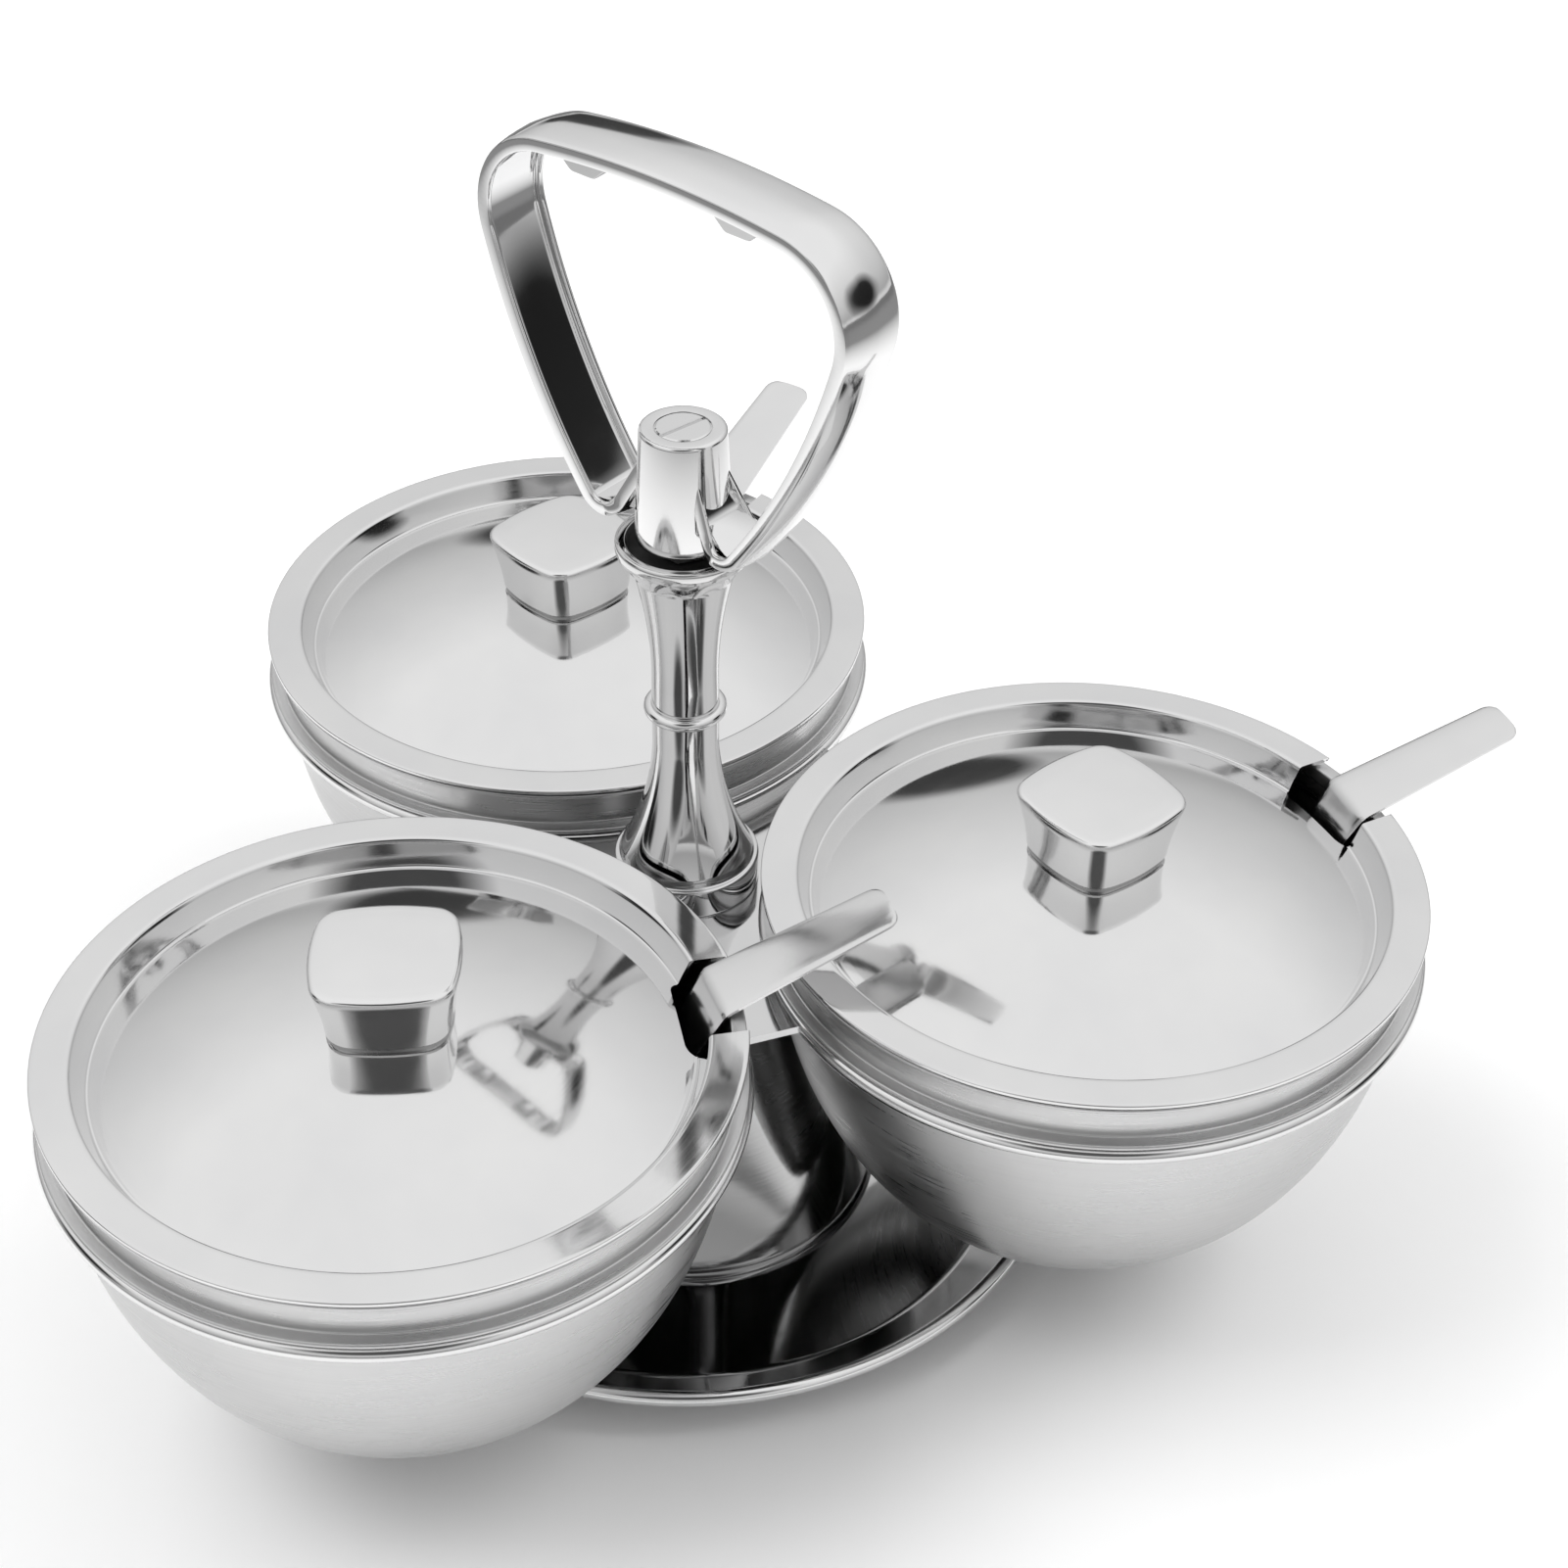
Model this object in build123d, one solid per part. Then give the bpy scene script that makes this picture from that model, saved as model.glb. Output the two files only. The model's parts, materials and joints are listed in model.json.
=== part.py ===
from build123d import *
import os
from math import atan2, cos, hypot, pi, radians, sin, sqrt, tan

# Rotating server with three covered bowls, in millimetres.
# The origin is on the table at the turning axis, +Z points up.
# Bowls stand at 210 (left), 330 (right) and 90 degrees (back) round the axis.

os.makedirs("parts", exist_ok=True)

# Clearances between pieces that move against each other
SEAT_GAP = 0.3
RUN_GAP = 0.05

# Layout of the carrier
BOWL_ANGLE = {"left": 210.0, "right": 330.0, "back": 90.0}
BOWL_CENTRE_RADIUS = 81.0
RING_MID_Z = 77.0

# Carrier rings
RING_TUBE = 1.6

# Bowls
BOWL_SHEET = 0.9
BOWL_BODY_RADIUS = 62.4
BOWL_SIDE_BEND = (87.5, 28.0)
BOWL_LOWER_BEND = (68.0, 24.5)
BOWL_FOOT_BEND = (15.5, 37.5)
BOWL_SHOULDER_RADIUS = 65.2
BOWL_SHOULDER_HEIGHT = 1.2
BOWL_NECK_RADIUS = 62.6
BOWL_NECK_HEIGHT = 7.0
BOWL_LIP_RADIUS = 64.6
BOWL_LIP_HEIGHT = 1.2

# Lids
LID_SHEET = 0.8
LID_RADIUS = 65.0
LID_FLANGE_WIDTH = 6.8
LID_EDGE_DROP = 0.4
LID_WALL_RUN = 2.4
LID_WALL_DEPTH = 5.0
LID_GROOVE_WIDTH = 1.2
LID_CROWN = 12.2
NOTCH_WIDTH = 21.0
NOTCH_DEPTH = 12.4
NOTCH_CORNER = 3.0
NOTCH_ANGLE = {"left": -8.5, "right": 7.5, "back": 38.5}

# Lid knobs: flaring blocks on rounded squares, each on a thin seat
KNOB_YAW = {"left": 73.0, "right": 18.0, "back": 23.0}
KNOB_TOP_SIDE = 24.5
KNOB_FOOT_SIDE = 20.4
KNOB_HEIGHT = 11.8
COLLAR_SIDE = 19.8
COLLAR_HEIGHT = 1.2
COLLAR_SKIRT = 1.4
KNOB_BULGE = 1.1
KNOB_CORNER = 4.2
KNOB_EDGE = 0.7
KNOB_SCREW_RADIUS = 2.0
KNOB_SCREW_HEAD_RADIUS = 4.2
KNOB_SCREW_HEAD_HEIGHT = 2.0
KNOB_SCREW_REACH = 8.0
KNOB_SCREW_SLOT = 0.9

# Serving spoons
SPOON_ROW = {"left": -7.2, "right": 6.0, "back": 0.0}
SPOON_YAW = {"left": 0.0, "right": 0.0, "back": 38.5}
SPOON_SHEET = 1.2
SPOON_WIDTH = 14.0
SPOON_TIP_WIDTH = 11.0
SPOON_TIP_CORNER = 2.6
SPOON_STEM_WIDTH = 8.0
SPOON_GRIP_REACH = 37.0
SPOON_GRIP_SLOPE = 19.0
SPOON_STEM_SLOPE = 60.0
SPOON_INSET = 2.6
SPOON_STEM_LENGTH = 58.0
SPOON_BOWL_LENGTH = 36.0
SPOON_BOWL_WIDTH = 26.0
SPOON_BOWL_DEPTH = 5.0

# Base
PAD_HEIGHT = 1.5
PAD_INSET = 1.0
BASE_SHEET = 1.0
BASE_FLOOR_RADIUS = 66.0
BASE_WALL_RUN = 10.6
BASE_WALL_RISE = 6.9
BASE_RIM_TUBE = 1.6
BASE_PLATEAU_RADIUS = 22.0
BASE_PLATEAU_SLOPE = 4.0
BASE_PLATEAU_RISE = 6.5

# Pedestal bell between base and carrier
BELL_SHEET = 1.4
BELL_FOOT_RADIUS = 40.0
BELL_FOOT_HEIGHT = 1.6
BELL_WAIST_RADIUS = 25.4
BELL_WAIST_Z = 38.0
BELL_TOP_RADIUS = 16.2
BELL_TOP_Z = 71.0

# Centre rod and its nuts
ROD_RADIUS = 3.0
ROD_END_PROUD = 0.8
NUT_WIDTH = 10.0
NUT_HEIGHT = 3.2
WASHER_RADIUS = 6.2
WASHER_HEIGHT = 0.8
ROD_TAP_DEPTH = 10.0

# Hub, plate and thrust washer
THRUST_HEIGHT = 1.2
THRUST_INNER_RADIUS = 7.4
THRUST_OUTER_RADIUS = 14.0
HUB_RADIUS = 13.0
PLATE_SHEET = 1.6
PLATE_TOP_Z = 78.2
PLATE_REACH = 50.5

# Column: heights above the plate and outer radii
COLUMN_FOOT_RADIUS = 14.4
COLUMN_FOOT_HEIGHT = 6.4
COLUMN_STEP_RADIUS = 13.2
COLUMN_STEP_HEIGHT = 7.4
COLUMN_WAIST_RADIUS = 6.5
COLUMN_LOWER_WAIST_HEIGHT = 33.4
COLUMN_UPPER_WAIST_HEIGHT = 47.4
COLUMN_BEAD_HEIGHT = 41.6
COLUMN_BEAD_RADIUS = 8.1
COLUMN_BEAD_TUBE = 1.25
COLUMN_LIP_RADIUS = 12.9
COLUMN_LIP_THICKNESS = 2.2
COLUMN_NECK_RADIUS = 9.6
COLUMN_NECK_HEIGHT = 73.0
COLUMN_HEIGHT = 79.8
COLUMN_BORE = 4.0
CUP_RADIUS = 10.9
CUP_DEPTH = 5.0
BUSH_HEIGHT = 2.6

# Handle
HANDLE_YAW = -60.0
BOSS_GAP = 0.6
BOSS_FOOT_RADIUS = 9.2
BOSS_TOP_RADIUS = 8.1
BOSS_HEIGHT = 23.0
BOSS_EDGE = 1.0
BOSS_SOCKET_RADIUS = 6.6
HANDLE_WIDTH = 14.6
HANDLE_FLANGE = 1.3
HANDLE_SKIN = 1.3
HANDLE_DEPTH = 2.6
HANDLE_CROWN = 0.9
HANDLE_TOP_Z = 233.2
HANDLE_TOP_BEND = (217.0, 7.3)
HANDLE_CORNER_BEND = (16.8, 98.7)
HANDLE_LEG_BEND = (155.0, 19.5)
HANDLE_HOOK_BEND = (5.5, 128.0)
HANDLE_ROOT_LENGTH = 8.0
HANDLE_WEB_TOP = (7.4, 14.6)
HANDLE_WEB_HOLLOW = (10.4, 7.6)
HANDLE_WEB_FOOT = (16.0, 4.4)
GRIP_RIDGE_AT = 17.5
GRIP_RIDGE_DEPTH = 3.4
GRIP_RIDGE_FLAT = 6.0
GRIP_RIDGE_FOOT = 13.0
SCREW_HEAD_RADIUS = 5.3
SCREW_HEAD_HEIGHT = 3.0
SCREW_SHANK_RADIUS = 2.0
SCREW_SLOT = 0.9
SCREW_SLOT_DEPTH = 0.8

# Places that follow from the sizes above
BASE_FLOOR_Z = PAD_HEIGHT + BASE_SHEET
PLATEAU_UNDER_Z = PAD_HEIGHT + BASE_PLATEAU_RISE
LOWER_NUT_Z = PLATEAU_UNDER_Z - WASHER_HEIGHT - NUT_HEIGHT
ROD_BOTTOM_Z = LOWER_NUT_Z - ROD_END_PROUD
THRUST_TOP_Z = BELL_TOP_Z + THRUST_HEIGHT
HUB_BOTTOM_Z = THRUST_TOP_Z + SEAT_GAP
PLATE_BOTTOM_Z = PLATE_TOP_Z - PLATE_SHEET
COLUMN_TOP_Z = PLATE_TOP_Z + COLUMN_HEIGHT
CUP_FLOOR_Z = COLUMN_TOP_Z - CUP_DEPTH
BUSH_TOP_Z = CUP_FLOOR_Z + BUSH_HEIGHT
LOCK_NUT_Z = BUSH_TOP_Z + SEAT_GAP
BOSS_BOTTOM_Z = COLUMN_TOP_Z + BOSS_GAP
BOSS_TOP_Z = BOSS_BOTTOM_Z + BOSS_HEIGHT
SCREW_SEAT_Z = BOSS_TOP_Z - SCREW_HEAD_HEIGHT
ROD_TOP_Z = SCREW_SEAT_Z - HANDLE_SKIN
RING_RADIUS = BOWL_BODY_RADIUS + SEAT_GAP + RING_TUBE
SHOULDER_Z = RING_MID_Z + RING_TUBE + SEAT_GAP
NECK_Z = SHOULDER_Z + BOWL_SHOULDER_HEIGHT
LIP_Z = NECK_Z + BOWL_NECK_HEIGHT
LIP_TOP_Z = LIP_Z + BOWL_LIP_HEIGHT
LID_UNDER_Z = LIP_TOP_Z + LID_EDGE_DROP + SEAT_GAP
LID_TOP_Z = LID_UNDER_Z + LID_SHEET
LID_WALL_RADIUS = LID_RADIUS - LID_FLANGE_WIDTH
LID_PANEL_RADIUS = LID_WALL_RADIUS - LID_WALL_RUN - LID_GROOVE_WIDTH
LID_PANEL_Z = LID_TOP_Z - LID_WALL_DEPTH
LID_CENTRE_Z = LID_PANEL_Z + LID_CROWN
CROWN_RADIUS = (LID_PANEL_RADIUS**2 + LID_CROWN**2) / (2 * LID_CROWN)
CROWN_MIDDLE_Z = LID_CENTRE_Z - CROWN_RADIUS
COLLAR_TOP_Z = LID_CENTRE_Z + COLLAR_HEIGHT
MOUTH_RADIUS = BOWL_NECK_RADIUS - BOWL_SHEET


def spin(points):
    """Solid of revolution about Z from a closed outline of (radius, height) points."""
    outline = Polyline(*points, close=True)
    return revolve(Plane.XZ * make_face(outline), Axis.Z)


def spin_edges(*edges):
    """Solid of revolution about Z from joined edges in (radius, height)."""
    return revolve(Plane.XZ * make_face(list(edges)), Axis.Z)


def set_off(points, thickness):
    """The same open line, set off to its left by a thickness."""
    under = []
    for i, point in enumerate(points):
        before = points[max(i - 1, 0)]
        after = points[min(i + 1, len(points) - 1)]
        into = (point[0] - before[0], point[1] - before[1])
        out = (after[0] - point[0], after[1] - point[1])
        into = into if hypot(*into) else out
        out = out if hypot(*out) else into
        turn_in = atan2(into[1], into[0])
        turn_out = atan2(out[1], out[0])
        half = (turn_out - turn_in + pi) % (2 * pi) - pi
        middle = turn_in + half / 2
        reach = thickness / cos(half / 2)
        under.append((point[0] - reach * sin(middle), point[1] + reach * cos(middle)))
    return under


def sheet(points, thickness):
    """Closed outline of a sheet that lies to the left of the given line."""
    return points + set_off(points, thickness)[::-1]


def rod_along_z(radius, low, high):
    """Plain cylinder on the turning axis between two heights."""
    return Pos(0, 0, low) * Cylinder(radius, high - low, align=(Align.CENTER, Align.CENTER, Align.MIN))


def bead(radius, tube, height):
    """Round bead about the turning axis."""
    return Pos(0, 0, height) * Torus(radius, tube)


def tube_along_z(outer, inner, low, high):
    """Plain ring on the turning axis between two heights."""
    return rod_along_z(outer, low, high) - rod_along_z(inner, low, high)


def at_bowl(side, shape):
    """Move a shape made on the turning axis to the middle of one bowl."""
    angle = radians(BOWL_ANGLE[side])
    return Pos(BOWL_CENTRE_RADIUS * cos(angle), BOWL_CENTRE_RADIUS * sin(angle), 0) * shape


def hex_nut(low):
    """Thin hexagon nut on the centre rod, its foot at the given height."""
    corner_radius = NUT_WIDTH / 2 / cos(radians(30))
    blank = extrude(Pos(0, 0, low) * RegularPolygon(corner_radius, 6), NUT_HEIGHT)
    return blank - rod_along_z(ROD_RADIUS, low, low + NUT_HEIGHT)


def base_pad():
    """Felt disc that the base stands on."""
    return rod_along_z(BASE_FLOOR_RADIUS - PAD_INSET, 0, PAD_HEIGHT)


def base_pan():
    """Pressed pan with a raised middle, a flaring wall and a rolled rim."""
    slope_radius = BASE_PLATEAU_RADIUS + BASE_PLATEAU_SLOPE
    rim_z = BASE_FLOOR_Z + BASE_WALL_RISE
    rim_radius = BASE_FLOOR_RADIUS + BASE_WALL_RUN
    top = [
        (rim_radius, rim_z),
        (BASE_FLOOR_RADIUS, BASE_FLOOR_Z),
        (slope_radius, BASE_FLOOR_Z),
        (BASE_PLATEAU_RADIUS, BASE_FLOOR_Z + BASE_PLATEAU_RISE),
        (ROD_RADIUS, BASE_FLOOR_Z + BASE_PLATEAU_RISE),
    ]
    pan = spin(sheet(top, BASE_SHEET))
    rolled = bead(rim_radius + BASE_RIM_TUBE / 2, BASE_RIM_TUBE, rim_z)
    return pan + rolled


def pedestal_bell():
    """Trumpet-shaped hollow pedestal that carries the turning frame."""
    foot_z = BASE_FLOOR_Z
    flare = ThreePointArc(
        (BELL_FOOT_RADIUS, foot_z + BELL_FOOT_HEIGHT),
        (BELL_WAIST_RADIUS, BELL_WAIST_Z),
        (BELL_TOP_RADIUS, BELL_TOP_Z),
    )
    inner = Polyline(
        (BELL_TOP_RADIUS, BELL_TOP_Z),
        (ROD_RADIUS, BELL_TOP_Z),
        (ROD_RADIUS, BELL_TOP_Z - 2 * BELL_SHEET),
        (BELL_TOP_RADIUS - BELL_SHEET, BELL_TOP_Z - 2 * BELL_SHEET),
        (BELL_WAIST_RADIUS - 2 * BELL_SHEET, BELL_WAIST_Z),
        (BELL_FOOT_RADIUS - 2 * BELL_SHEET, foot_z + BELL_FOOT_HEIGHT),
        (BELL_FOOT_RADIUS - 2 * BELL_SHEET, foot_z),
        (BELL_FOOT_RADIUS, foot_z),
        (BELL_FOOT_RADIUS, foot_z + BELL_FOOT_HEIGHT),
    )
    return spin_edges(*flare.edges(), *inner.edges())


def centre_rod():
    """Fixed rod from the base to the handle, tapped at its upper end."""
    rod = rod_along_z(ROD_RADIUS, ROD_BOTTOM_Z, ROD_TOP_Z)
    return rod - rod_along_z(SCREW_SHANK_RADIUS, ROD_TOP_Z - ROD_TAP_DEPTH, ROD_TOP_Z)


def lower_washer():
    """Washer under the raised middle of the base pan."""
    return tube_along_z(WASHER_RADIUS, ROD_RADIUS, PLATEAU_UNDER_Z - WASHER_HEIGHT, PLATEAU_UNDER_Z)


def thrust_washer():
    """Slippery washer on the bell that the hub turns on."""
    return tube_along_z(THRUST_OUTER_RADIUS, THRUST_INNER_RADIUS, BELL_TOP_Z, THRUST_TOP_Z)


def carrier_hub():
    """Bearing hub under the plate, hollow below to clear the bell's nut."""
    recess_top = BELL_TOP_Z + NUT_HEIGHT + SEAT_GAP
    hub = rod_along_z(HUB_RADIUS, HUB_BOTTOM_Z, PLATE_BOTTOM_Z)
    hub -= rod_along_z(ROD_RADIUS + RUN_GAP, HUB_BOTTOM_Z, PLATE_BOTTOM_Z)
    return hub - rod_along_z(THRUST_INNER_RADIUS, HUB_BOTTOM_Z, recess_top)


def plate_blank():
    """Three-armed plate with an inward curve round each bowl."""
    arm_half = PLATE_REACH * tan(radians(30))
    arms = Circle(arm_half)
    for side in BOWL_ANGLE:
        away = BOWL_ANGLE[side] + 180
        arms += Rot(0, 0, away) * (Pos(PLATE_REACH / 2, 0) * Rectangle(PLATE_REACH, arm_half))
    for side in BOWL_ANGLE:
        arms -= at_bowl(side, Circle(RING_RADIUS))
    return arms


def carrier_plate():
    """Plate that joins the three rings to the hub and the column."""
    plate = extrude(Pos(0, 0, PLATE_BOTTOM_Z) * plate_blank(), PLATE_SHEET)
    for side in BOWL_ANGLE:
        plate -= carrier_ring(side)
    return plate - rod_along_z(COLUMN_BORE, PLATE_BOTTOM_Z, PLATE_TOP_Z)


def carrier_ring(side):
    """Wire ring that one bowl hangs in, welded to the plate's edge."""
    return at_bowl(side, bead(RING_RADIUS, RING_TUBE, RING_MID_Z))


def column():
    """Turned column with a stepped foot, a waist bead and a cup at its top."""
    foot = PLATE_TOP_Z
    lower = ThreePointArc(
        (COLUMN_STEP_RADIUS, foot + COLUMN_STEP_HEIGHT),
        (0.5 * COLUMN_STEP_RADIUS + 0.35 * COLUMN_WAIST_RADIUS, foot + 0.55 * COLUMN_LOWER_WAIST_HEIGHT),
        (COLUMN_WAIST_RADIUS, foot + COLUMN_LOWER_WAIST_HEIGHT),
    )
    upper = ThreePointArc(
        (COLUMN_WAIST_RADIUS, foot + COLUMN_UPPER_WAIST_HEIGHT),
        (COLUMN_WAIST_RADIUS + 0.3, foot + 0.78 * COLUMN_NECK_HEIGHT),
        (COLUMN_NECK_RADIUS, foot + COLUMN_NECK_HEIGHT),
    )
    waist = Line(lower @ 1, upper @ 0)
    core = Polyline(
        upper @ 1,
        (COLUMN_LIP_RADIUS, COLUMN_TOP_Z - COLUMN_LIP_THICKNESS),
        (COLUMN_LIP_RADIUS, COLUMN_TOP_Z),
        (CUP_RADIUS, COLUMN_TOP_Z),
        (CUP_RADIUS, CUP_FLOOR_Z),
        (COLUMN_BORE, CUP_FLOOR_Z),
        (COLUMN_BORE, foot),
        (COLUMN_FOOT_RADIUS, foot),
        (COLUMN_FOOT_RADIUS, foot + COLUMN_FOOT_HEIGHT),
        (COLUMN_STEP_RADIUS, foot + COLUMN_FOOT_HEIGHT),
        lower @ 0,
    )
    turned = spin_edges(*lower.edges(), *waist.edges(), *upper.edges(), *core.edges())
    return turned + bead(COLUMN_BEAD_RADIUS - COLUMN_BEAD_TUBE, COLUMN_BEAD_TUBE, foot + COLUMN_BEAD_HEIGHT)


def upper_bush():
    """Dark bush in the column's cup that turns on the rod."""
    return tube_along_z(CUP_RADIUS, ROD_RADIUS + RUN_GAP, CUP_FLOOR_Z, BUSH_TOP_Z)


def handle_route():
    """Line of the strap's outer edge on one side, from the top down to the boss."""
    point = Vector(0, HANDLE_TOP_Z)
    heading = 0.0
    route = []
    for radius, turn in (HANDLE_TOP_BEND, HANDLE_CORNER_BEND, HANDLE_LEG_BEND, HANDLE_HOOK_BEND):
        centre = point + Vector(0, -radius).rotate(Axis.Z, heading)
        arm = point - centre
        end = centre + arm.rotate(Axis.Z, -turn)
        route += ThreePointArc(point, centre + arm.rotate(Axis.Z, -turn / 2), end).edges()
        point = end
        heading -= turn
    route += Line(point, point + Vector(HANDLE_ROOT_LENGTH, 0).rotate(Axis.Z, heading)).edges()
    return Plane.XZ * Wire(route)


def strap_section():
    """Channel section of the strap: crowned outside, hollow inside."""
    half = HANDLE_WIDTH / 2
    return make_face(Polyline(
        (0, HANDLE_CROWN),
        (half, 0),
        (half, -HANDLE_DEPTH),
        (half - HANDLE_FLANGE, -HANDLE_DEPTH),
        (half - HANDLE_FLANGE, -HANDLE_SKIN),
        (HANDLE_FLANGE - half, -HANDLE_SKIN),
        (HANDLE_FLANGE - half, -HANDLE_DEPTH),
        (-half, -HANDLE_DEPTH),
        (-half, 0),
        close=True,
    ))


def grip_ridge(at):
    """Low ridge across the underside of the grip, between two fingers."""
    foot_z = HANDLE_TOP_Z - HANDLE_SKIN
    low_z = HANDLE_TOP_Z - HANDLE_DEPTH - GRIP_RIDGE_DEPTH
    side = make_face(Polyline(
        (at - GRIP_RIDGE_FOOT / 2, foot_z - HANDLE_SKIN),
        (at - GRIP_RIDGE_FLAT / 2, low_z),
        (at + GRIP_RIDGE_FLAT / 2, low_z),
        (at + GRIP_RIDGE_FOOT / 2, foot_z - HANDLE_SKIN),
        (at, foot_z),
        close=True,
    ))
    width = HANDLE_WIDTH - 2 * HANDLE_FLANGE
    return extrude(Plane.XZ * side, width / 2, both=True)


def boss_web():
    """Hollow-curved web that fills the corner between the boss and both hooks."""
    top, hollow, foot = (
        (place[0], BOSS_BOTTOM_Z + place[1]) for place in (HANDLE_WEB_TOP, HANDLE_WEB_HOLLOW, HANDLE_WEB_FOOT)
    )
    curve = ThreePointArc(top, hollow, foot)
    back = Polyline(foot, (HANDLE_WEB_TOP[0], foot[1]), top)
    face = make_face([*curve.edges(), *back.edges()])
    web = extrude(Plane.XZ * face, HANDLE_WIDTH / 2 - HANDLE_FLANGE, both=True)
    return web + mirror(web, Plane.YZ)


def handle():
    """Cast handle: a tapered boss that grows into a crowned channel loop."""
    top = Plane(origin=(0, 0, HANDLE_TOP_Z), x_dir=(0, 1, 0), z_dir=(1, 0, 0))
    half_loop = sweep(top * strap_section(), handle_route())
    loop = half_loop + mirror(half_loop, Plane.YZ) + boss_web()
    for at in (-GRIP_RIDGE_AT, GRIP_RIDGE_AT):
        loop += grip_ridge(at)
    boss = spin([
        (0, BOSS_BOTTOM_Z),
        (BOSS_FOOT_RADIUS, BOSS_BOTTOM_Z),
        (BOSS_TOP_RADIUS, BOSS_TOP_Z - BOSS_EDGE),
        (BOSS_TOP_RADIUS - BOSS_EDGE, BOSS_TOP_Z),
        (0, BOSS_TOP_Z),
    ])
    body = loop + boss
    body -= rod_along_z(BOSS_SOCKET_RADIUS, BOSS_BOTTOM_Z, LOCK_NUT_Z + NUT_HEIGHT)
    body -= rod_along_z(ROD_RADIUS, BOSS_BOTTOM_Z, ROD_TOP_Z)
    body -= rod_along_z(SCREW_SHANK_RADIUS, ROD_TOP_Z, SCREW_SEAT_Z)
    body -= rod_along_z(SCREW_HEAD_RADIUS, SCREW_SEAT_Z, BOSS_TOP_Z)
    return Rot(0, 0, HANDLE_YAW) * body


def handle_screw():
    """Slotted screw that holds the handle on the rod."""
    screw = rod_along_z(SCREW_HEAD_RADIUS, SCREW_SEAT_Z, BOSS_TOP_Z)
    screw += rod_along_z(SCREW_SHANK_RADIUS, ROD_TOP_Z - ROD_TAP_DEPTH, SCREW_SEAT_Z)
    slot = Pos(0, 0, BOSS_TOP_Z) * Box(2 * SCREW_HEAD_RADIUS, SCREW_SLOT, 2 * SCREW_SLOT_DEPTH)
    return screw - slot


def bowl_profile(shrink):
    """Arcs of a bowl's body from the shoulder down, drawn in by a thickness."""
    place = Vector(BOWL_BODY_RADIUS - shrink, SHOULDER_Z)
    heading = Vector(0, -1)
    arcs = []
    for radius, turn in (BOWL_SIDE_BEND, BOWL_LOWER_BEND, BOWL_FOOT_BEND):
        arc = JernArc(place, heading, radius - shrink, -turn)
        arcs += arc.edges()
        place = arc @ 1
        heading = arc % 1
    return arcs, place


def bowl():
    """Spun bowl with a shoulder that sits on its ring and a turned lip."""
    outside, outer_foot = bowl_profile(0)
    inside, inner_foot = bowl_profile(BOWL_SHEET)
    rim = Polyline(
        (BOWL_BODY_RADIUS, SHOULDER_Z),
        (BOWL_SHOULDER_RADIUS, SHOULDER_Z),
        (BOWL_SHOULDER_RADIUS, SHOULDER_Z + BOWL_SHEET),
        (BOWL_NECK_RADIUS, NECK_Z),
        (BOWL_NECK_RADIUS, LIP_Z),
        (BOWL_LIP_RADIUS, LIP_Z + BOWL_SHEET / 2),
        (BOWL_LIP_RADIUS, LIP_TOP_Z),
        (MOUTH_RADIUS, LIP_TOP_Z),
        (BOWL_BODY_RADIUS - BOWL_SHEET, SHOULDER_Z),
    )
    floor = Polyline(inner_foot, (0, inner_foot.Y), (0, outer_foot.Y), outer_foot)
    return spin_edges(*outside, *rim.edges(), *inside, *floor.edges())


def notch(side):
    """Tool that cuts the spoon notch out of a lid's edge."""
    start = LID_RADIUS - NOTCH_DEPTH
    length = NOTCH_DEPTH + NOTCH_CORNER
    blank = Pos(start + length / 2 + NOTCH_CORNER / 2, 0) * Rectangle(length + NOTCH_CORNER, NOTCH_WIDTH)
    inner = blank.vertices().filter_by(lambda v: v.X < LID_RADIUS - NOTCH_DEPTH / 2)
    tool = extrude(Pos(0, 0, LID_PANEL_Z - LID_WALL_DEPTH) * fillet(inner, NOTCH_CORNER), 3 * LID_WALL_DEPTH)
    return Rot(0, 0, NOTCH_ANGLE[side]) * tool


def crown_height(radius, drop):
    """Height of a lid's crown at a radius, lowered by a thickness."""
    return CROWN_MIDDLE_Z + sqrt((CROWN_RADIUS - drop) ** 2 - radius**2)


def crown(drop):
    """Arc of a lid's crown from its groove to the screw hole."""
    edge = LID_PANEL_RADIUS * (1 - drop / CROWN_RADIUS)
    points = [(radius, crown_height(radius, drop)) for radius in (edge, edge / 2, KNOB_SCREW_RADIUS)]
    return ThreePointArc(*points)


def lid(side):
    """Pressed lid: flat flange, sunk groove, domed crown and spoon notch."""
    top = [
        (LID_RADIUS, LID_TOP_Z - LID_EDGE_DROP),
        (LID_RADIUS - LID_SHEET / 2, LID_TOP_Z),
        (LID_WALL_RADIUS, LID_TOP_Z),
        (LID_WALL_RADIUS - LID_WALL_RUN, LID_PANEL_Z),
        (LID_PANEL_RADIUS, LID_PANEL_Z),
    ]
    above = crown(0)
    below = crown(LID_SHEET)
    rim = Polyline(below @ 0, *set_off(top, LID_SHEET)[-2::-1], *top)
    hole = Line(above @ 1, below @ 1)
    pressed = spin_edges(*rim.edges(), *above.edges(), *hole.edges(), *below.edges())
    return pressed - notch(side)


def rounded_square(side_length):
    """Square with bulging sides and round corners."""
    half = side_length / 2
    corners = [(half, -half), (half, half), (-half, half), (-half, -half)]
    sides = []
    for i, corner in enumerate(corners):
        after = corners[(i + 1) % len(corners)]
        middle = Vector((corner[0] + after[0]) / 2, (corner[1] + after[1]) / 2)
        sides.append(ThreePointArc(corner, middle * (1 + KNOB_BULGE / half), after))
    blank = make_face(sides)
    return fillet(blank.vertices(), KNOB_CORNER)


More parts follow.
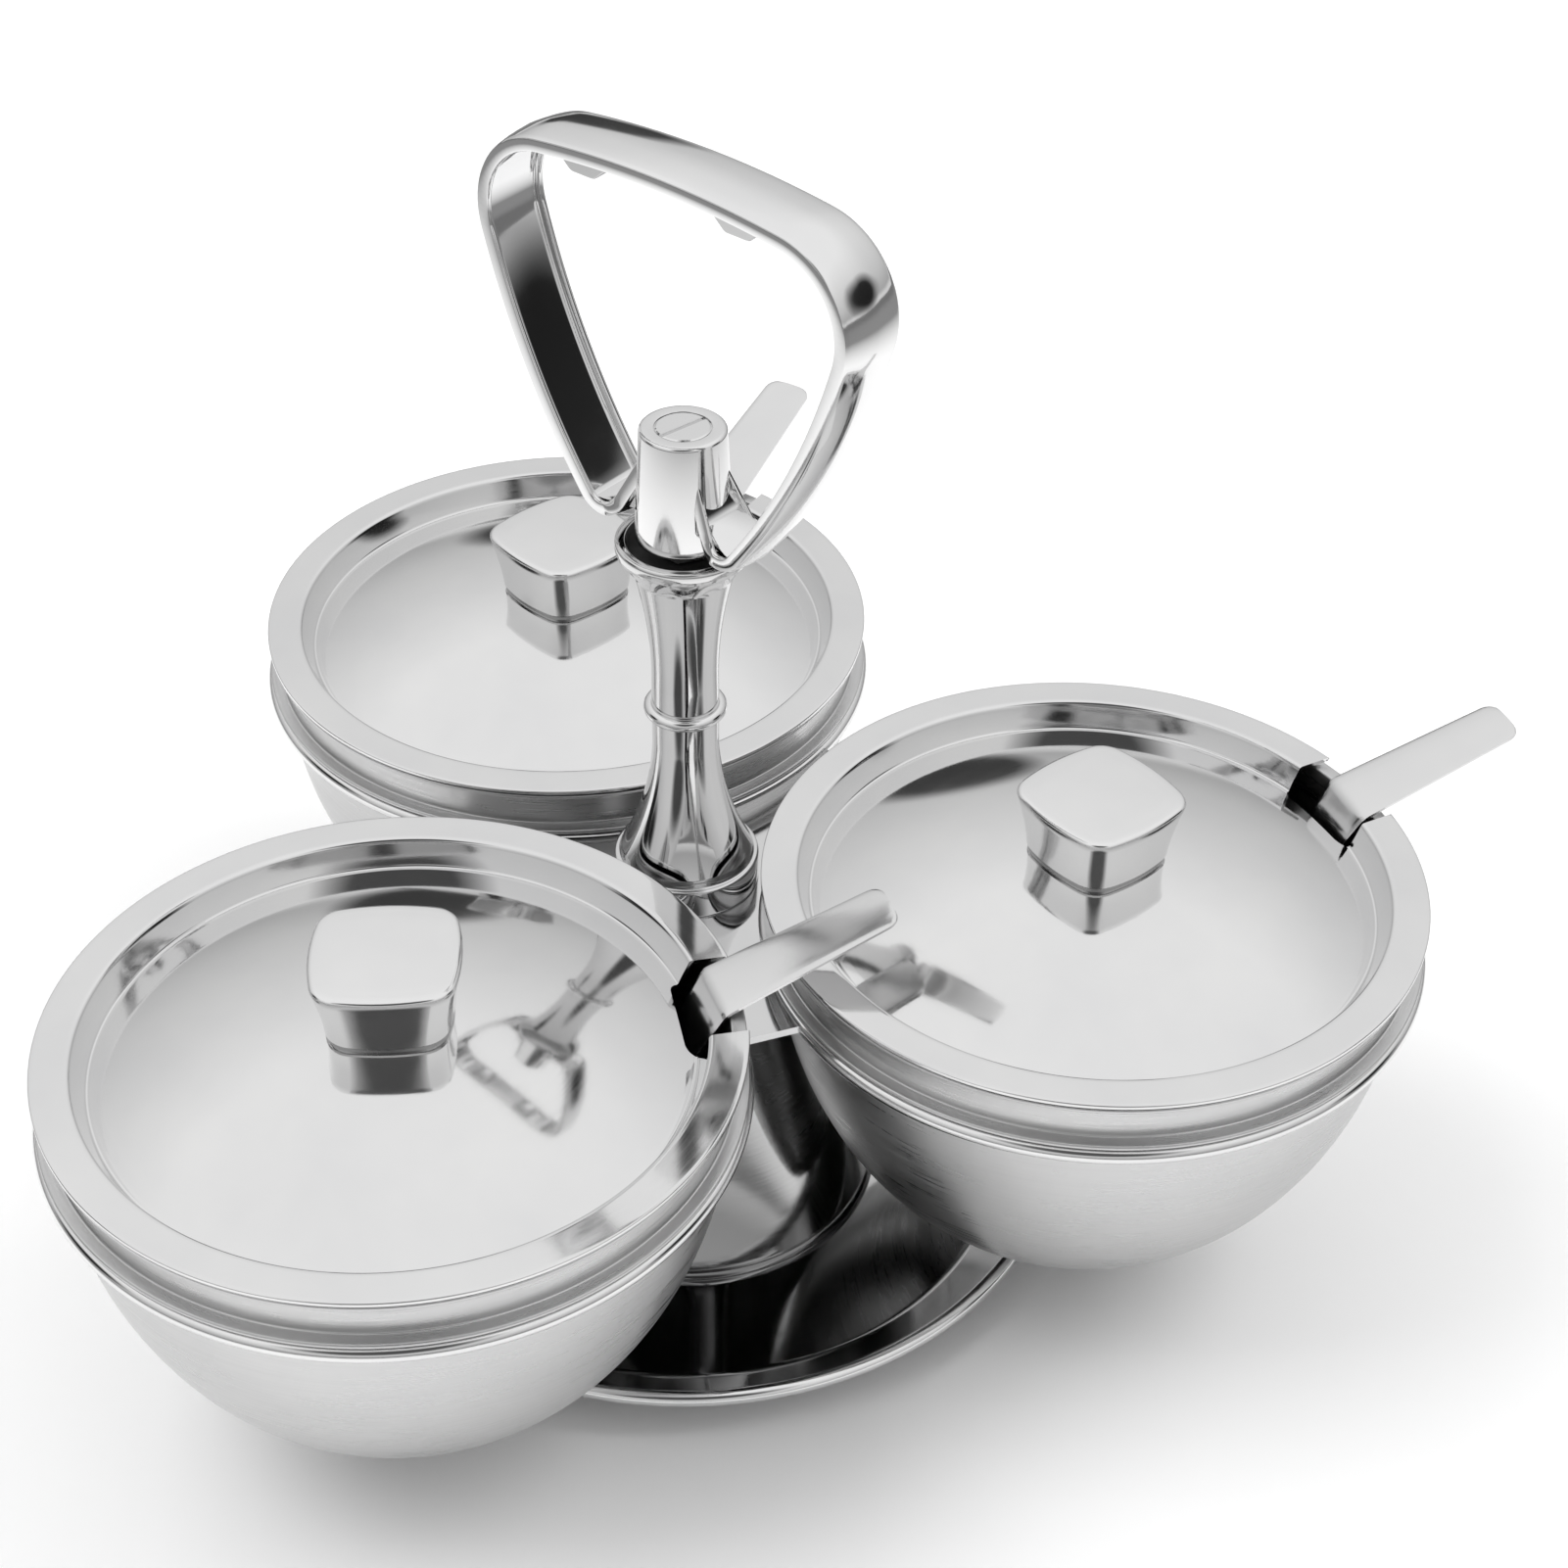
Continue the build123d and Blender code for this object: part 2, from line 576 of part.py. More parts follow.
def knob(side):
    """Flaring block of a lid knob, tapped from below."""
    lower = Pos(0, 0, COLLAR_TOP_Z) * rounded_square(KNOB_FOOT_SIDE)
    upper = Pos(0, 0, COLLAR_TOP_Z + KNOB_HEIGHT) * rounded_square(KNOB_TOP_SIDE)
    block = loft([lower, upper])
    block = fillet(block.edges().group_by(Axis.Z)[-1], KNOB_EDGE)
    block -= rod_along_z(KNOB_SCREW_RADIUS, COLLAR_TOP_Z, LID_CENTRE_Z + KNOB_SCREW_REACH)
    return Rot(0, 0, KNOB_YAW[side]) * block


def knob_collar(side):
    """Thin seat between a knob and its lid, hollowed to sit on the crown."""
    foot_z = LID_CENTRE_Z - COLLAR_SKIRT
    seat = extrude(Pos(0, 0, foot_z) * rounded_square(COLLAR_SIDE), COLLAR_HEIGHT + COLLAR_SKIRT)
    seat -= Pos(0, 0, CROWN_MIDDLE_Z) * Sphere(CROWN_RADIUS)
    seat -= rod_along_z(KNOB_SCREW_RADIUS, foot_z, COLLAR_TOP_Z)
    return Rot(0, 0, KNOB_YAW[side]) * seat


def knob_screw():
    """Slotted screw that holds a knob, its head under the lid."""
    seat = crown_height(KNOB_SCREW_HEAD_RADIUS, LID_SHEET)
    head_low = seat - KNOB_SCREW_HEAD_HEIGHT
    screw = rod_along_z(KNOB_SCREW_HEAD_RADIUS, head_low, seat)
    screw += rod_along_z(KNOB_SCREW_RADIUS, seat, LID_CENTRE_Z + KNOB_SCREW_REACH)
    slot = Pos(0, 0, head_low) * Box(2 * KNOB_SCREW_HEAD_RADIUS, KNOB_SCREW_SLOT, KNOB_SCREW_HEAD_HEIGHT)
    return screw - slot


def spoon(side):
    """Serving spoon that leans on the lip: flat grip, steep stem, oval bowl."""
    corner = abs(SPOON_ROW[side]) + SPOON_WIDTH / 2
    seat = sqrt(MOUTH_RADIUS**2 - corner**2)
    bend_x = MOUTH_RADIUS - SPOON_INSET
    slope = radians(SPOON_GRIP_SLOPE)
    bend = Vector(bend_x, LIP_TOP_Z + SEAT_GAP + SPOON_SHEET / cos(slope) - (seat - bend_x) * tan(slope))
    grip_way = Vector(1, 0).rotate(Axis.Z, SPOON_GRIP_SLOPE)
    stem_way = Vector(-1, 0).rotate(Axis.Z, SPOON_STEM_SLOPE)
    tip = bend + grip_way * SPOON_GRIP_REACH
    end = bend + stem_way * SPOON_STEM_LENGTH
    back = [(tip.X, tip.Y), (bend.X, bend.Y), (end.X, end.Y)]
    profile = make_face(Polyline(*sheet(back, SPOON_SHEET), close=True))
    strip = extrude(Plane.XZ * profile, SPOON_WIDTH / 2, both=True)
    reach = end.X - SPOON_WIDTH
    plan = make_face(Polyline(
        (reach, -SPOON_STEM_WIDTH / 2),
        (bend.X - SPOON_WIDTH, -SPOON_STEM_WIDTH / 2),
        (bend.X, -SPOON_WIDTH / 2),
        (tip.X, -SPOON_TIP_WIDTH / 2),
        (tip.X, SPOON_TIP_WIDTH / 2),
        (bend.X, SPOON_WIDTH / 2),
        (bend.X - SPOON_WIDTH, SPOON_STEM_WIDTH / 2),
        (reach, SPOON_STEM_WIDTH / 2),
        close=True,
    ))
    outer = plan.vertices().filter_by(lambda v: v.X > tip.X - SPOON_SHEET)
    plan = fillet(outer, SPOON_TIP_CORNER)
    strip &= extrude(plan, LID_TOP_Z * 2)
    return strip + spoon_bowl(end)


def spoon_bowl(end):
    """Oval dish of the spoon, hung from the stem's lower end."""
    outer = scale(Sphere(1), by=(SPOON_BOWL_LENGTH / 2, SPOON_BOWL_WIDTH / 2, SPOON_BOWL_DEPTH))
    hollow = scale(Sphere(1), by=(
        SPOON_BOWL_LENGTH / 2 - SPOON_SHEET,
        SPOON_BOWL_WIDTH / 2 - SPOON_SHEET,
        SPOON_BOWL_DEPTH - SPOON_SHEET,
    ))
    below = (Align.CENTER, Align.CENTER, Align.MAX)
    keep = Box(SPOON_BOWL_LENGTH, SPOON_BOWL_WIDTH, SPOON_BOWL_DEPTH, align=below)
    dish = (outer - hollow) & keep
    return Pos(end.X - SPOON_BOWL_LENGTH / 2 + SPOON_SHEET, 0, end.Y) * dish


def place_spoon(side, shape):
    """Turn a spoon to its side's direction and shift it along the rim."""
    return Rot(0, 0, SPOON_YAW[side]) * Pos(0, SPOON_ROW[side], 0) * shape


def write(node, shape):
    export_step(shape, f"parts/{node}.step")


write("base_pad", base_pad())
write("base_pan", base_pan())
write("pedestal_bell", pedestal_bell())
write("lower_washer", lower_washer())
write("lower_nut", hex_nut(LOWER_NUT_Z))
write("bell_nut", hex_nut(BELL_TOP_Z))
write("centre_rod", centre_rod())
write("thrust_washer", thrust_washer())
write("carrier_hub", carrier_hub())
write("carrier_plate", carrier_plate())
write("column", column())
write("upper_bush", upper_bush())
write("lock_nut", hex_nut(LOCK_NUT_Z))
write("handle", handle())
write("handle_screw", handle_screw())

for side in BOWL_ANGLE:
    write(f"ring_{side}", carrier_ring(side))
    write(f"bowl_{side}", at_bowl(side, bowl()))
    write(f"lid_{side}", at_bowl(side, lid(side)))
    write(f"knob_{side}", at_bowl(side, knob(side)))
    write(f"knob_collar_{side}", at_bowl(side, knob_collar(side)))
    write(f"knob_screw_{side}", at_bowl(side, knob_screw()))
    write(f"spoon_{side}", at_bowl(side, place_spoon(side, spoon(side))))
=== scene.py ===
import json
from math import acos, asin, atan2, cos, hypot, pi, radians, sin, sqrt, tan

import bmesh
import bpy
from mathutils import Matrix, Vector


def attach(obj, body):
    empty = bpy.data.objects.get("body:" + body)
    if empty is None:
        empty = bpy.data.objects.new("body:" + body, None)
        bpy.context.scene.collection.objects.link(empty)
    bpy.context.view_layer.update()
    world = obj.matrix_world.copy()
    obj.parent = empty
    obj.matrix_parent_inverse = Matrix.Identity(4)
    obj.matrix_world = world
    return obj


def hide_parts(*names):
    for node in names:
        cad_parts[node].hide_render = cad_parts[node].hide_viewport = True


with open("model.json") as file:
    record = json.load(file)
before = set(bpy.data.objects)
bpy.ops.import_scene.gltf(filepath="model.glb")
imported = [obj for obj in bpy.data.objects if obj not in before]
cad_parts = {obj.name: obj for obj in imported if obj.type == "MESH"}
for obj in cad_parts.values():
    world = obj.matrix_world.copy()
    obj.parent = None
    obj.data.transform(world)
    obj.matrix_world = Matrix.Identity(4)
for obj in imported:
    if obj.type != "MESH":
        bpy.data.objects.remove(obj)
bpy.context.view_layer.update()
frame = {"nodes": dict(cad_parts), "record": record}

# Sizes are in millimetres and degrees, the same as the part's own
MM = 0.001
SEGMENTS = 192

# Places and turns of the three stations
BOWLS = {"left": 210.0, "right": 330.0, "back": 90.0}
CENTRE_R = 81.0
NOTCH_AT = {"left": -8.5, "right": 7.5, "back": 38.5}
KNOB_YAW = {"left": 73.0, "right": 18.0, "back": 23.0}
SPOON_ROW = {"left": -7.2, "right": 6.0, "back": 0.0}
SPOON_YAW = {"left": 0.0, "right": 0.0, "back": 38.5}

# Foot pan and bell, points as (radius, height)
PAN_LINE = [(3, 9.0), (22, 9.0), (26, 2.5), (66, 2.5), (76.6, 9.4)]
PAN_CORNERS = {1: 3, 2: 2.5, 3: 4}
PAN_THICKNESS = 1.0
PAN_BEAD = {"radius": 77.4, "tube": 1.6, "z": 9.4}
BELL_FOOT = (40, 4.1)
BELL_WAIST = (25.4, 38)
BELL_TOP = (16.2, 71)
BELL_SEAT = [(37.2, 2.5), (40, 2.5), BELL_FOOT]
BELL_INSIDE = [(3, 71), (3, 68.2), (14.8, 68.2), (22.6, 38), (37.2, 4.1)]

# Column, points as (radius, height above its foot)
COLUMN_Z = 78.2
COLUMN_STEP = [(4, 0), (14.4, 0), (14.4, 6.4), (13.2, 6.4), (13.2, 7.4)]
COLUMN_LOWER = [(13.2, 7.4), (0.5 * 13.2 + 0.35 * 6.5, 0.55 * 33.4), (6.5, 33.4)]
COLUMN_UPPER = [(6.5, 47.4), (6.8, 0.78 * 73.0), (9.6, 73.0)]
COLUMN_CUP = [(9.6, 73.0), (12.6, 77.2), (12.9, 78.0), (12.9, 79.8), (10.9, 79.8), (10.9, 74.8), (4, 74.8)]
COLUMN_BEAD = {"radius": 6.85, "tube": 1.25, "z": COLUMN_Z + 41.6}

# Handle: arcs as (radius, turn) from the middle of its bar down to the boss
HANDLE_YAW = -60
HANDLE_TOP = 233.2
HANDLE_ARCS = ((217.0, 7.3), (16.8, 98.7), (155.0, 19.5), (5.5, 118.0))
HANDLE_ROOT = 14.0
STRAP_HALF = [(0.0, 0.95), (2.0, 0.82), (4.4, 0.58), (6.2, 0.28), (6.85, 0.12), (7.18, -0.08), (7.3, -0.4),
              (7.3, -2.1), (7.2, -2.45), (6.95, -2.6), (6.4, -2.6), (6.1, -2.45), (6.0, -2.2),
              (5.95, -1.6), (5.6, -1.35), (5.0, -1.3), (0.0, -1.3)]
TAPER_BELOW = 180
TAPER_FROM = 12.5
TAPER_OVER = 8.0
TAPER_BY = 0.42
RIDGES_AT = (-17.5, 17.5)
RIDGE_LINE = [(-6.6, 1.2), (-5.6, 3.4), (-2.6, 6.0), (2.6, 6.0), (5.6, 3.4), (6.6, 1.2)]
BOSS_Z = 158.6
BOSS_TOP = 181.6
WEB_CURVE = [(6.6, 15.6), (10.2, 7.8), (16.4, 4.6)]
BOSS_LINE = [(0, BOSS_Z), (9.2, BOSS_Z), (8.1, BOSS_TOP - 0.4), (7.6, BOSS_TOP), (5.3, BOSS_TOP),
             (5.3, BOSS_TOP - 0.5), (0, BOSS_TOP - 0.5)]
BOSS_CORNERS = {1: 0.6, 2: 0.9, 3: 0.9, 4: 0.15}
SCREW_R = 5.15
SLOT_HALF = 0.45
SLOT_TURN = 0.35

# Bowls and rings: arcs as (radius, turn, steps) down the side of a bowl
BOWL_R = 62.4
BOWL_Z = 78.9
BOWL_THICKNESS = 0.9
BOWL_ARCS = ((87.5, 28.0, 22), (68.0, 24.5, 20), (15.5, 37.5, 14))
LIP_R = 61.7
LIP_TOP = 88.3
BOWL_RIM = [(BOWL_R, BOWL_Z), (65.2, BOWL_Z), (65.2, BOWL_Z + 0.9), (62.6, BOWL_Z + 1.2), (62.6, 87.1),
            (64.6, 87.5), (64.6, LIP_TOP), (LIP_R, LIP_TOP), (61.5, BOWL_Z)]
BOWL_RIM_CORNERS = {1: 0.4, 2: 0.5, 3: 0.5, 4: 1.0, 5: 0.35, 6: 0.35, 7: 0.4}
RING = {"radius": 64.3, "tube": 1.6, "z": 77.0}
RIM_SEGMENTS = 224

# Lids, and the spoon notch in a lid's own direction
LID_R = 65.0
LID_Z = 89.8
LID_THICKNESS = 0.8
PANEL_Z = 84.8
PANEL_R = 54.6
CROWN = 12.2
CROWN_R = (PANEL_R ** 2 + CROWN ** 2) / (2 * CROWN)
EYE_R = 2.0
LID_FLANGE = [(LID_R, LID_Z - 0.75), (LID_R, LID_Z), (58.3, LID_Z)]
LID_COVE_TOP = [(58.0, LID_Z - 0.05), (57.75, LID_Z - 0.25)]
LID_COVE = [(57.55, LID_Z - 0.55), (56.2, LID_Z - 3.6), (55.5, PANEL_Z - 0.1)]
LID_GROOVE = [(55.3, PANEL_Z - 0.2), (55.1, PANEL_Z - 0.22), (54.9, PANEL_Z - 0.14), (54.7, PANEL_Z - 0.02)]
NOTCH_HALF = 10.5
NOTCH_IN = 52.6
NOTCH_CORNER = 3.0
LID_SEGMENTS = 240

# Knobs and their seats
SEAT_TOP = PANEL_Z + CROWN + 1.2
SEAT_SIDE = 19.8
KNOB_FOOT = 20.4
KNOB_FLARE = 3.8
KNOB_TOP = 24.2
KNOB_HEIGHT = 11.8
KNOB_BULGE = 1.7
KNOB_CORNER = 5.6
KNOB_EDGE = 0.95
# Insets and heights about the joint between seat and knob, which lies JOINT_DROP below the seat's top
JOINT_DROP = 1.05
SEAT_EDGE = ((0.0, -0.12), (0.12, -0.01))
KNOB_HEEL = ((0.9, 0.02), (0.25, 0.08), (0.0, 0.35))

# Spoons: the strip bends over the bowl's lip, and its stem goes down into the bowl
SPOON_THICKNESS = 1.2
SPOON_BEND_X = 59.1
SPOON_GAP = 0.3
GRIP_LENGTH = 37
GRIP_TILT = radians(19)
GRIP_HALF = 7.0
TIP_HALF = 5.5
TIP_CORNER = 2.6
STEM_LENGTH = 58
STEM_TILT = radians(60)
STEM_HALF = 4.0
STEM_TAPER = 14
DISH_LONG = 18
DISH_WIDE = 13


# Lines and meshes
def dome(r):
    """Height of a lid's crown at a radius."""
    return PANEL_Z + CROWN - CROWN_R + sqrt(CROWN_R ** 2 - r * r)


def centre(side):
    """Axis of a bowl on the floor plan."""
    a = radians(BOWLS[side])
    return CENTRE_R * cos(a), CENTRE_R * sin(a)


def spin(verts, a):
    """Points turned about Z by an angle in radians."""
    c, s = cos(a), sin(a)
    return [(x * c - y * s, x * s + y * c, z) for x, y, z in verts]


def between(p, q, steps):
    """Points from p up to, but not at, q in equal steps."""
    return [(p[0] + (q[0] - p[0]) * k / steps, p[1] + (q[1] - p[1]) * k / steps) for k in range(steps)]


def arc(cr, cz, radius, start, end, steps):
    """Points on an arc in the (radius, height) plane."""
    out = []
    for i in range(steps + 1):
        a = radians(start + (end - start) * i / steps)
        out.append((cr + radius * cos(a), cz + radius * sin(a)))
    return out


def torus_line(radius, tube, z, steps=24):
    """Closed line round the wire of a ring."""
    return arc(radius, z, tube, 0, 360, steps)[:-1]


def bend(place, heading, radius, turn, steps):
    """Arc that starts at a place in a heading and turns left by an angle; also its last heading."""
    side = 1 if turn > 0 else -1
    h = radians(heading)
    c = (place[0] - side * radius * sin(h), place[1] + side * radius * cos(h))
    out = []
    for i in range(1, steps + 1):
        a = h + radians(turn) * i / steps
        out.append((c[0] + side * radius * sin(a), c[1] - side * radius * cos(a)))
    return out, heading + turn


def three(p, q, r, steps):
    """Points of the circle arc through three points."""
    ax, ay = p
    bx, by = q
    cx, cy = r
    d = 2 * (ax * (by - cy) + bx * (cy - ay) + cx * (ay - by))
    aa, bb, cc = ax * ax + ay * ay, bx * bx + by * by, cx * cx + cy * cy
    ux = (aa * (by - cy) + bb * (cy - ay) + cc * (ay - by)) / d
    uy = (aa * (cx - bx) + bb * (ax - cx) + cc * (bx - ax)) / d
    start = atan2(ay - uy, ax - ux)
    middle = atan2(by - uy, bx - ux)
    radius = hypot(ax - ux, ay - uy)
    span = (atan2(cy - uy, cx - ux) - start) % (2 * pi)
    if (middle - start) % (2 * pi) > span:
        span -= 2 * pi
    turns = [start + span * i / steps for i in range(steps + 1)]
    return [(ux + radius * cos(a), uy + radius * sin(a)) for a in turns]


def round_corners(points, radii, steps=4):
    """An open line of points with its inner corners rounded by the radii given for them."""
    out = [points[0]]
    for i in range(1, len(points) - 1):
        p, q, r = (Vector(points[k]) for k in (i - 1, i, i + 1))
        radius = radii.get(i, 0)
        u = (p - q).normalized()
        v = (r - q).normalized()
        opening = u.angle(v)
        if radius <= 0 or abs(opening - pi) < 1e-3:
            out.append(points[i])
            continue
        cut = min(radius / tan(opening / 2), 0.49 * (p - q).length, 0.49 * (r - q).length)
        a = q + u * cut
        b = q + v * cut
        for k in range(steps + 1):
            t = k / steps
            out.append(tuple((1 - t) ** 2 * a + 2 * t * (1 - t) * q + t * t * b))
    out.append(points[-1])
    return out


def offset(line, thickness):
    """The same line set off to its left by a thickness, with mitred corners."""
    out = []
    for i, q in enumerate(line):
        p = line[max(i - 1, 0)]
        r = line[min(i + 1, len(line) - 1)]
        a = atan2(q[1] - p[1], q[0] - p[0]) if i else atan2(r[1] - q[1], r[0] - q[0])
        b = atan2(r[1] - q[1], r[0] - q[0]) if i < len(line) - 1 else a
        half = ((b - a + pi) % (2 * pi) - pi) / 2
        m = a + half
        d = thickness / cos(half)
        out.append((q[0] - d * sin(m), q[1] + d * cos(m)))
    return out


def lathe(line, segments=SEGMENTS, closed=True):
    """Vertices and faces of a line of (radius, height) turned about Z."""
    verts, rings = [], []
    for r, z in line:
        if r < 1e-6:
            rings.append([len(verts)])
            verts.append((0.0, 0.0, z))
            continue
        rings.append(list(range(len(verts), len(verts) + segments)))
        turns = [2 * pi * k / segments for k in range(segments)]
        verts += [(r * cos(a), r * sin(a), z) for a in turns]
    faces = []
    pairs = list(zip(rings, rings[1:]))
    if closed:
        pairs.append((rings[-1], rings[0]))
    for a, b in pairs:
        for k in range(segments):
            n = (k + 1) % segments
            if len(a) == 1 and len(b) == 1:
                break
            if len(a) == 1:
                faces.append((a[0], b[k], b[n]))
            elif len(b) == 1:
                faces.append((a[k], b[0], a[n]))
            else:
                faces.append((a[k], b[k], b[n], a[n]))
    return verts, faces


def skin(rings):
    """Vertices and faces over a stack of equal rings, with both ends capped."""
    verts = [v for ring in rings for v in ring]
    n = len(rings[0])
    faces = []
    for i in range(len(rings) - 1):
        for k in range(n):
            m = (k + 1) % n
            faces.append((i * n + k, i * n + m, (i + 1) * n + m, (i + 1) * n + k))
    faces.append(tuple(range(n - 1, -1, -1)))
    faces.append(tuple((len(rings) - 1) * n + k for k in range(n)))
    return verts, faces


def add(name, shape, body, mat, nodes=(), sharp=32.0, at=(0.0, 0.0)):
    """A piece from vertices and faces about its own axis, put in place and tied to its body."""
    verts, faces = shape
    mesh = bpy.data.meshes.new(name)
    mesh.from_pydata([(x * MM, y * MM, z * MM) for x, y, z in verts], [], faces)
    mesh.validate()
    work = bmesh.new()
    work.from_mesh(mesh)
    bmesh.ops.remove_doubles(work, verts=work.verts, dist=1e-7)
    bmesh.ops.recalc_face_normals(work, faces=work.faces)
    work.to_mesh(mesh)
    work.free()
    obj = bpy.data.objects.new(name, mesh)
    bpy.context.scene.collection.objects.link(obj)
    mesh.shade_smooth()
    mesh.set_sharp_from_angle(angle=radians(sharp))
    obj.location = (at[0] * MM, at[1] * MM, 0)
    mesh.materials.append(mat)
    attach(obj, body)
    if nodes:
        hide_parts(*nodes)


# Materials: scales of the marks, and how far the grain is drawn out
CLOUD_SCALE = 34.0
SPOT_SCALE = 260.0
HAIR_SCALE = 1500.0
EDGE_WEAR = 0.05
GRAIN_ROUND = 0.0016
GRAIN_ALONG = 0.06
GRAIN_DOWN = 0.5


def nodes_of(name):
    """A new material with its node tree and its shader."""
    mat = bpy.data.materials.new(name)
    mat.use_nodes = True
    tree = mat.node_tree
    tree.nodes.clear()
    out = tree.nodes.new("ShaderNodeOutputMaterial")
    shader = tree.nodes.new("ShaderNodeBsdfPrincipled")
    tree.links.new(shader.outputs[0], out.inputs[0])
    return mat, tree, shader


def noise(tree, vector, scale, detail=3.0, rough=0.55):
    n = tree.nodes.new("ShaderNodeTexNoise")
    n.inputs["Scale"].default_value = scale
    n.inputs["Detail"].default_value = detail
    n.inputs["Roughness"].default_value = rough
    tree.links.new(vector, n.inputs["Vector"])
    return n.outputs["Fac"]


def ramp(tree, value, low, high, lo=0.3, hi=0.7):
    """The value's range from lo to hi carried over to low to high."""
    n = tree.nodes.new("ShaderNodeMapRange")
    n.inputs["From Min"].default_value = lo
    n.inputs["From Max"].default_value = hi
    n.inputs["To Min"].default_value = low
    n.inputs["To Max"].default_value = high
    tree.links.new(value, n.inputs["Value"])
    return n.outputs["Result"]


def maths(tree, op, a, b=None):
    n = tree.nodes.new("ShaderNodeMath")
    n.operation = op
    for k, v in enumerate((a, b)):
        if v is None:
            continue
        if isinstance(v, (int, float)):
            n.inputs[k].default_value = v
        else:
            tree.links.new(v, n.inputs[k])
    return n.outputs[0]


def neutral(value):
    return (value, value, value, 1)


def tones(tree, value, stops):
    """A colour ramp through (place, colour) stops."""
    n = tree.nodes.new("ShaderNodeValToRGB")
    row = n.color_ramp.elements
    for element, (place, colour) in zip(row, stops):
        element.position = place
        element.color = colour
    for place, colour in stops[2:]:
        row.new(place).color = colour
    tree.links.new(value, n.inputs[0])
    return n.outputs[0]


def bump(tree, shader, height, strength, depth):
    n = tree.nodes.new("ShaderNodeBump")
    n.inputs["Strength"].default_value = strength
    n.inputs["Distance"].default_value = depth
    tree.links.new(height, n.inputs["Height"])
    tree.links.new(n.outputs[0], shader.inputs["Normal"])


def grain_space(tree, coord, polar):
    """Coordinates for the grain: rings about the piece's axis, or lines along its X."""
    sep = tree.nodes.new("ShaderNodeSeparateXYZ")
    tree.links.new(coord, sep.inputs[0])
    x, y, z = sep.outputs
    if polar:
        squares = maths(tree, "ADD", maths(tree, "MULTIPLY", x, x), maths(tree, "MULTIPLY", y, y))
        turn = maths(tree, "ARCTAN2", y, x)
        axes = (maths(tree, "SQRT", squares), z, maths(tree, "MULTIPLY", turn, GRAIN_ROUND))
    else:
        axes = (maths(tree, "MULTIPLY", x, GRAIN_ALONG), y, maths(tree, "MULTIPLY", z, GRAIN_DOWN))
    join = tree.nodes.new("ShaderNodeCombineXYZ")
    for k, axis in enumerate(axes):
        tree.links.new(axis, join.inputs[k])
    return join.outputs[0]


def steel(name, grey, rough, marks=0.0, marks_scale=900.0, smudge=0.03, aniso=0.0, polar=True):
    """Stainless steel: fine marks of its turning or grinding, smudges, hairlines and worn edges."""
    mat, tree, shader = nodes_of(name)
    coord = tree.nodes.new("ShaderNodeTexCoord").outputs["Object"]
    grain = noise(tree, grain_space(tree, coord, polar), marks_scale, detail=2.0)
    cloud = noise(tree, coord, CLOUD_SCALE, detail=4.0)
    spots = noise(tree, coord, SPOT_SCALE, detail=3.0)
    hair = noise(tree, coord, HAIR_SCALE, detail=1.0)
    worn = tree.nodes.new("ShaderNodeNewGeometry").outputs["Pointiness"]
    parts = (
        ramp(tree, worn, 0.0, EDGE_WEAR, 0.5, 0.62),
        ramp(tree, spots, 0.0, smudge * 0.6, 0.5, 0.8),
        ramp(tree, grain, -0.3 * marks * rough, 0.9 * marks * rough, 0.3, 0.7),
    )
    total = ramp(tree, cloud, rough - smudge * 0.5, rough + smudge, 0.35, 0.75)
    for part in parts:
        total = maths(tree, "ADD", total, part)
    tree.links.new(total, shader.inputs["Roughness"])
    dull = (grey * 0.93, grey * 0.93, grey * 0.935, 1)
    clear = (grey, grey * 0.998, grey * 0.995, 1)
    tree.links.new(tones(tree, cloud, [(0.3, dull), (0.72, clear)]), shader.inputs["Base Color"])
    shader.inputs["Metallic"].default_value = 1.0
    if aniso:
        shader.inputs["Anisotropic"].default_value = aniso
        tangent = tree.nodes.new("ShaderNodeTangent")
        tangent.direction_type = "RADIAL"
        tangent.axis = "Z"
        tree.links.new(tangent.outputs[0], shader.inputs["Tangent"])
    height = maths(tree, "ADD", maths(tree, "MULTIPLY", grain, marks), maths(tree, "MULTIPLY", hair, 0.12))
    bump(tree, shader, height, 0.25 + 0.5 * marks, 0.00001)
    return mat


def dark(name, low, high, rough, scale, sheen=0.0):
    """Dark nylon or felt with a fine mottled surface."""
    mat, tree, shader = nodes_of(name)
    coord = tree.nodes.new("ShaderNodeTexCoord").outputs["Object"]
    fine = noise(tree, coord, scale, 4.0)
    broad = noise(tree, coord, scale * 0.05, 2.0)
    colour = tones(tree, fine, [(0.0, neutral(low)), (1.0, neutral(high))])
    tree.links.new(colour, shader.inputs["Base Color"])
    tree.links.new(ramp(tree, broad, rough - 0.08, rough + 0.08), shader.inputs["Roughness"])
    shader.inputs["Sheen Weight"].default_value = sheen
    bump(tree, shader, fine, 0.4, 0.0001)
    return mat


MIRROR = steel("steel_mirror", 0.70, 0.045, marks=0.25, marks_scale=1400.0, smudge=0.03)
SPUN = steel("steel_spun", 0.50, 0.06, marks=0.35, marks_scale=1400.0, smudge=0.03)
CAST = steel("steel_cast_polish", 0.82, 0.06, marks=0.0, smudge=0.04, polar=False)
LID = steel("steel_lid", 0.78, 0.065, marks=0.3, marks_scale=1600.0, smudge=0.025, aniso=0.1)
# Darkened steel for the knob seats: a painted shadow line at the knob's contact with the lid, not the
# steel's own tone
SEAT_SHADE_STEEL = steel("steel_seat_painted_shadow", 0.42, 0.22, marks=0.0, smudge=0.05, polar=False)
SATIN = steel("steel_bowl", 0.64, 0.28, marks=0.5, marks_scale=1800.0, smudge=0.06, aniso=0.35)
RIM = steel("steel_rim", 0.80, 0.09, marks=0.3, marks_scale=1400.0, smudge=0.03)
SPOON = steel("steel_spoon", 0.74, 0.15, marks=0.15, marks_scale=2600.0, smudge=0.03, polar=False)
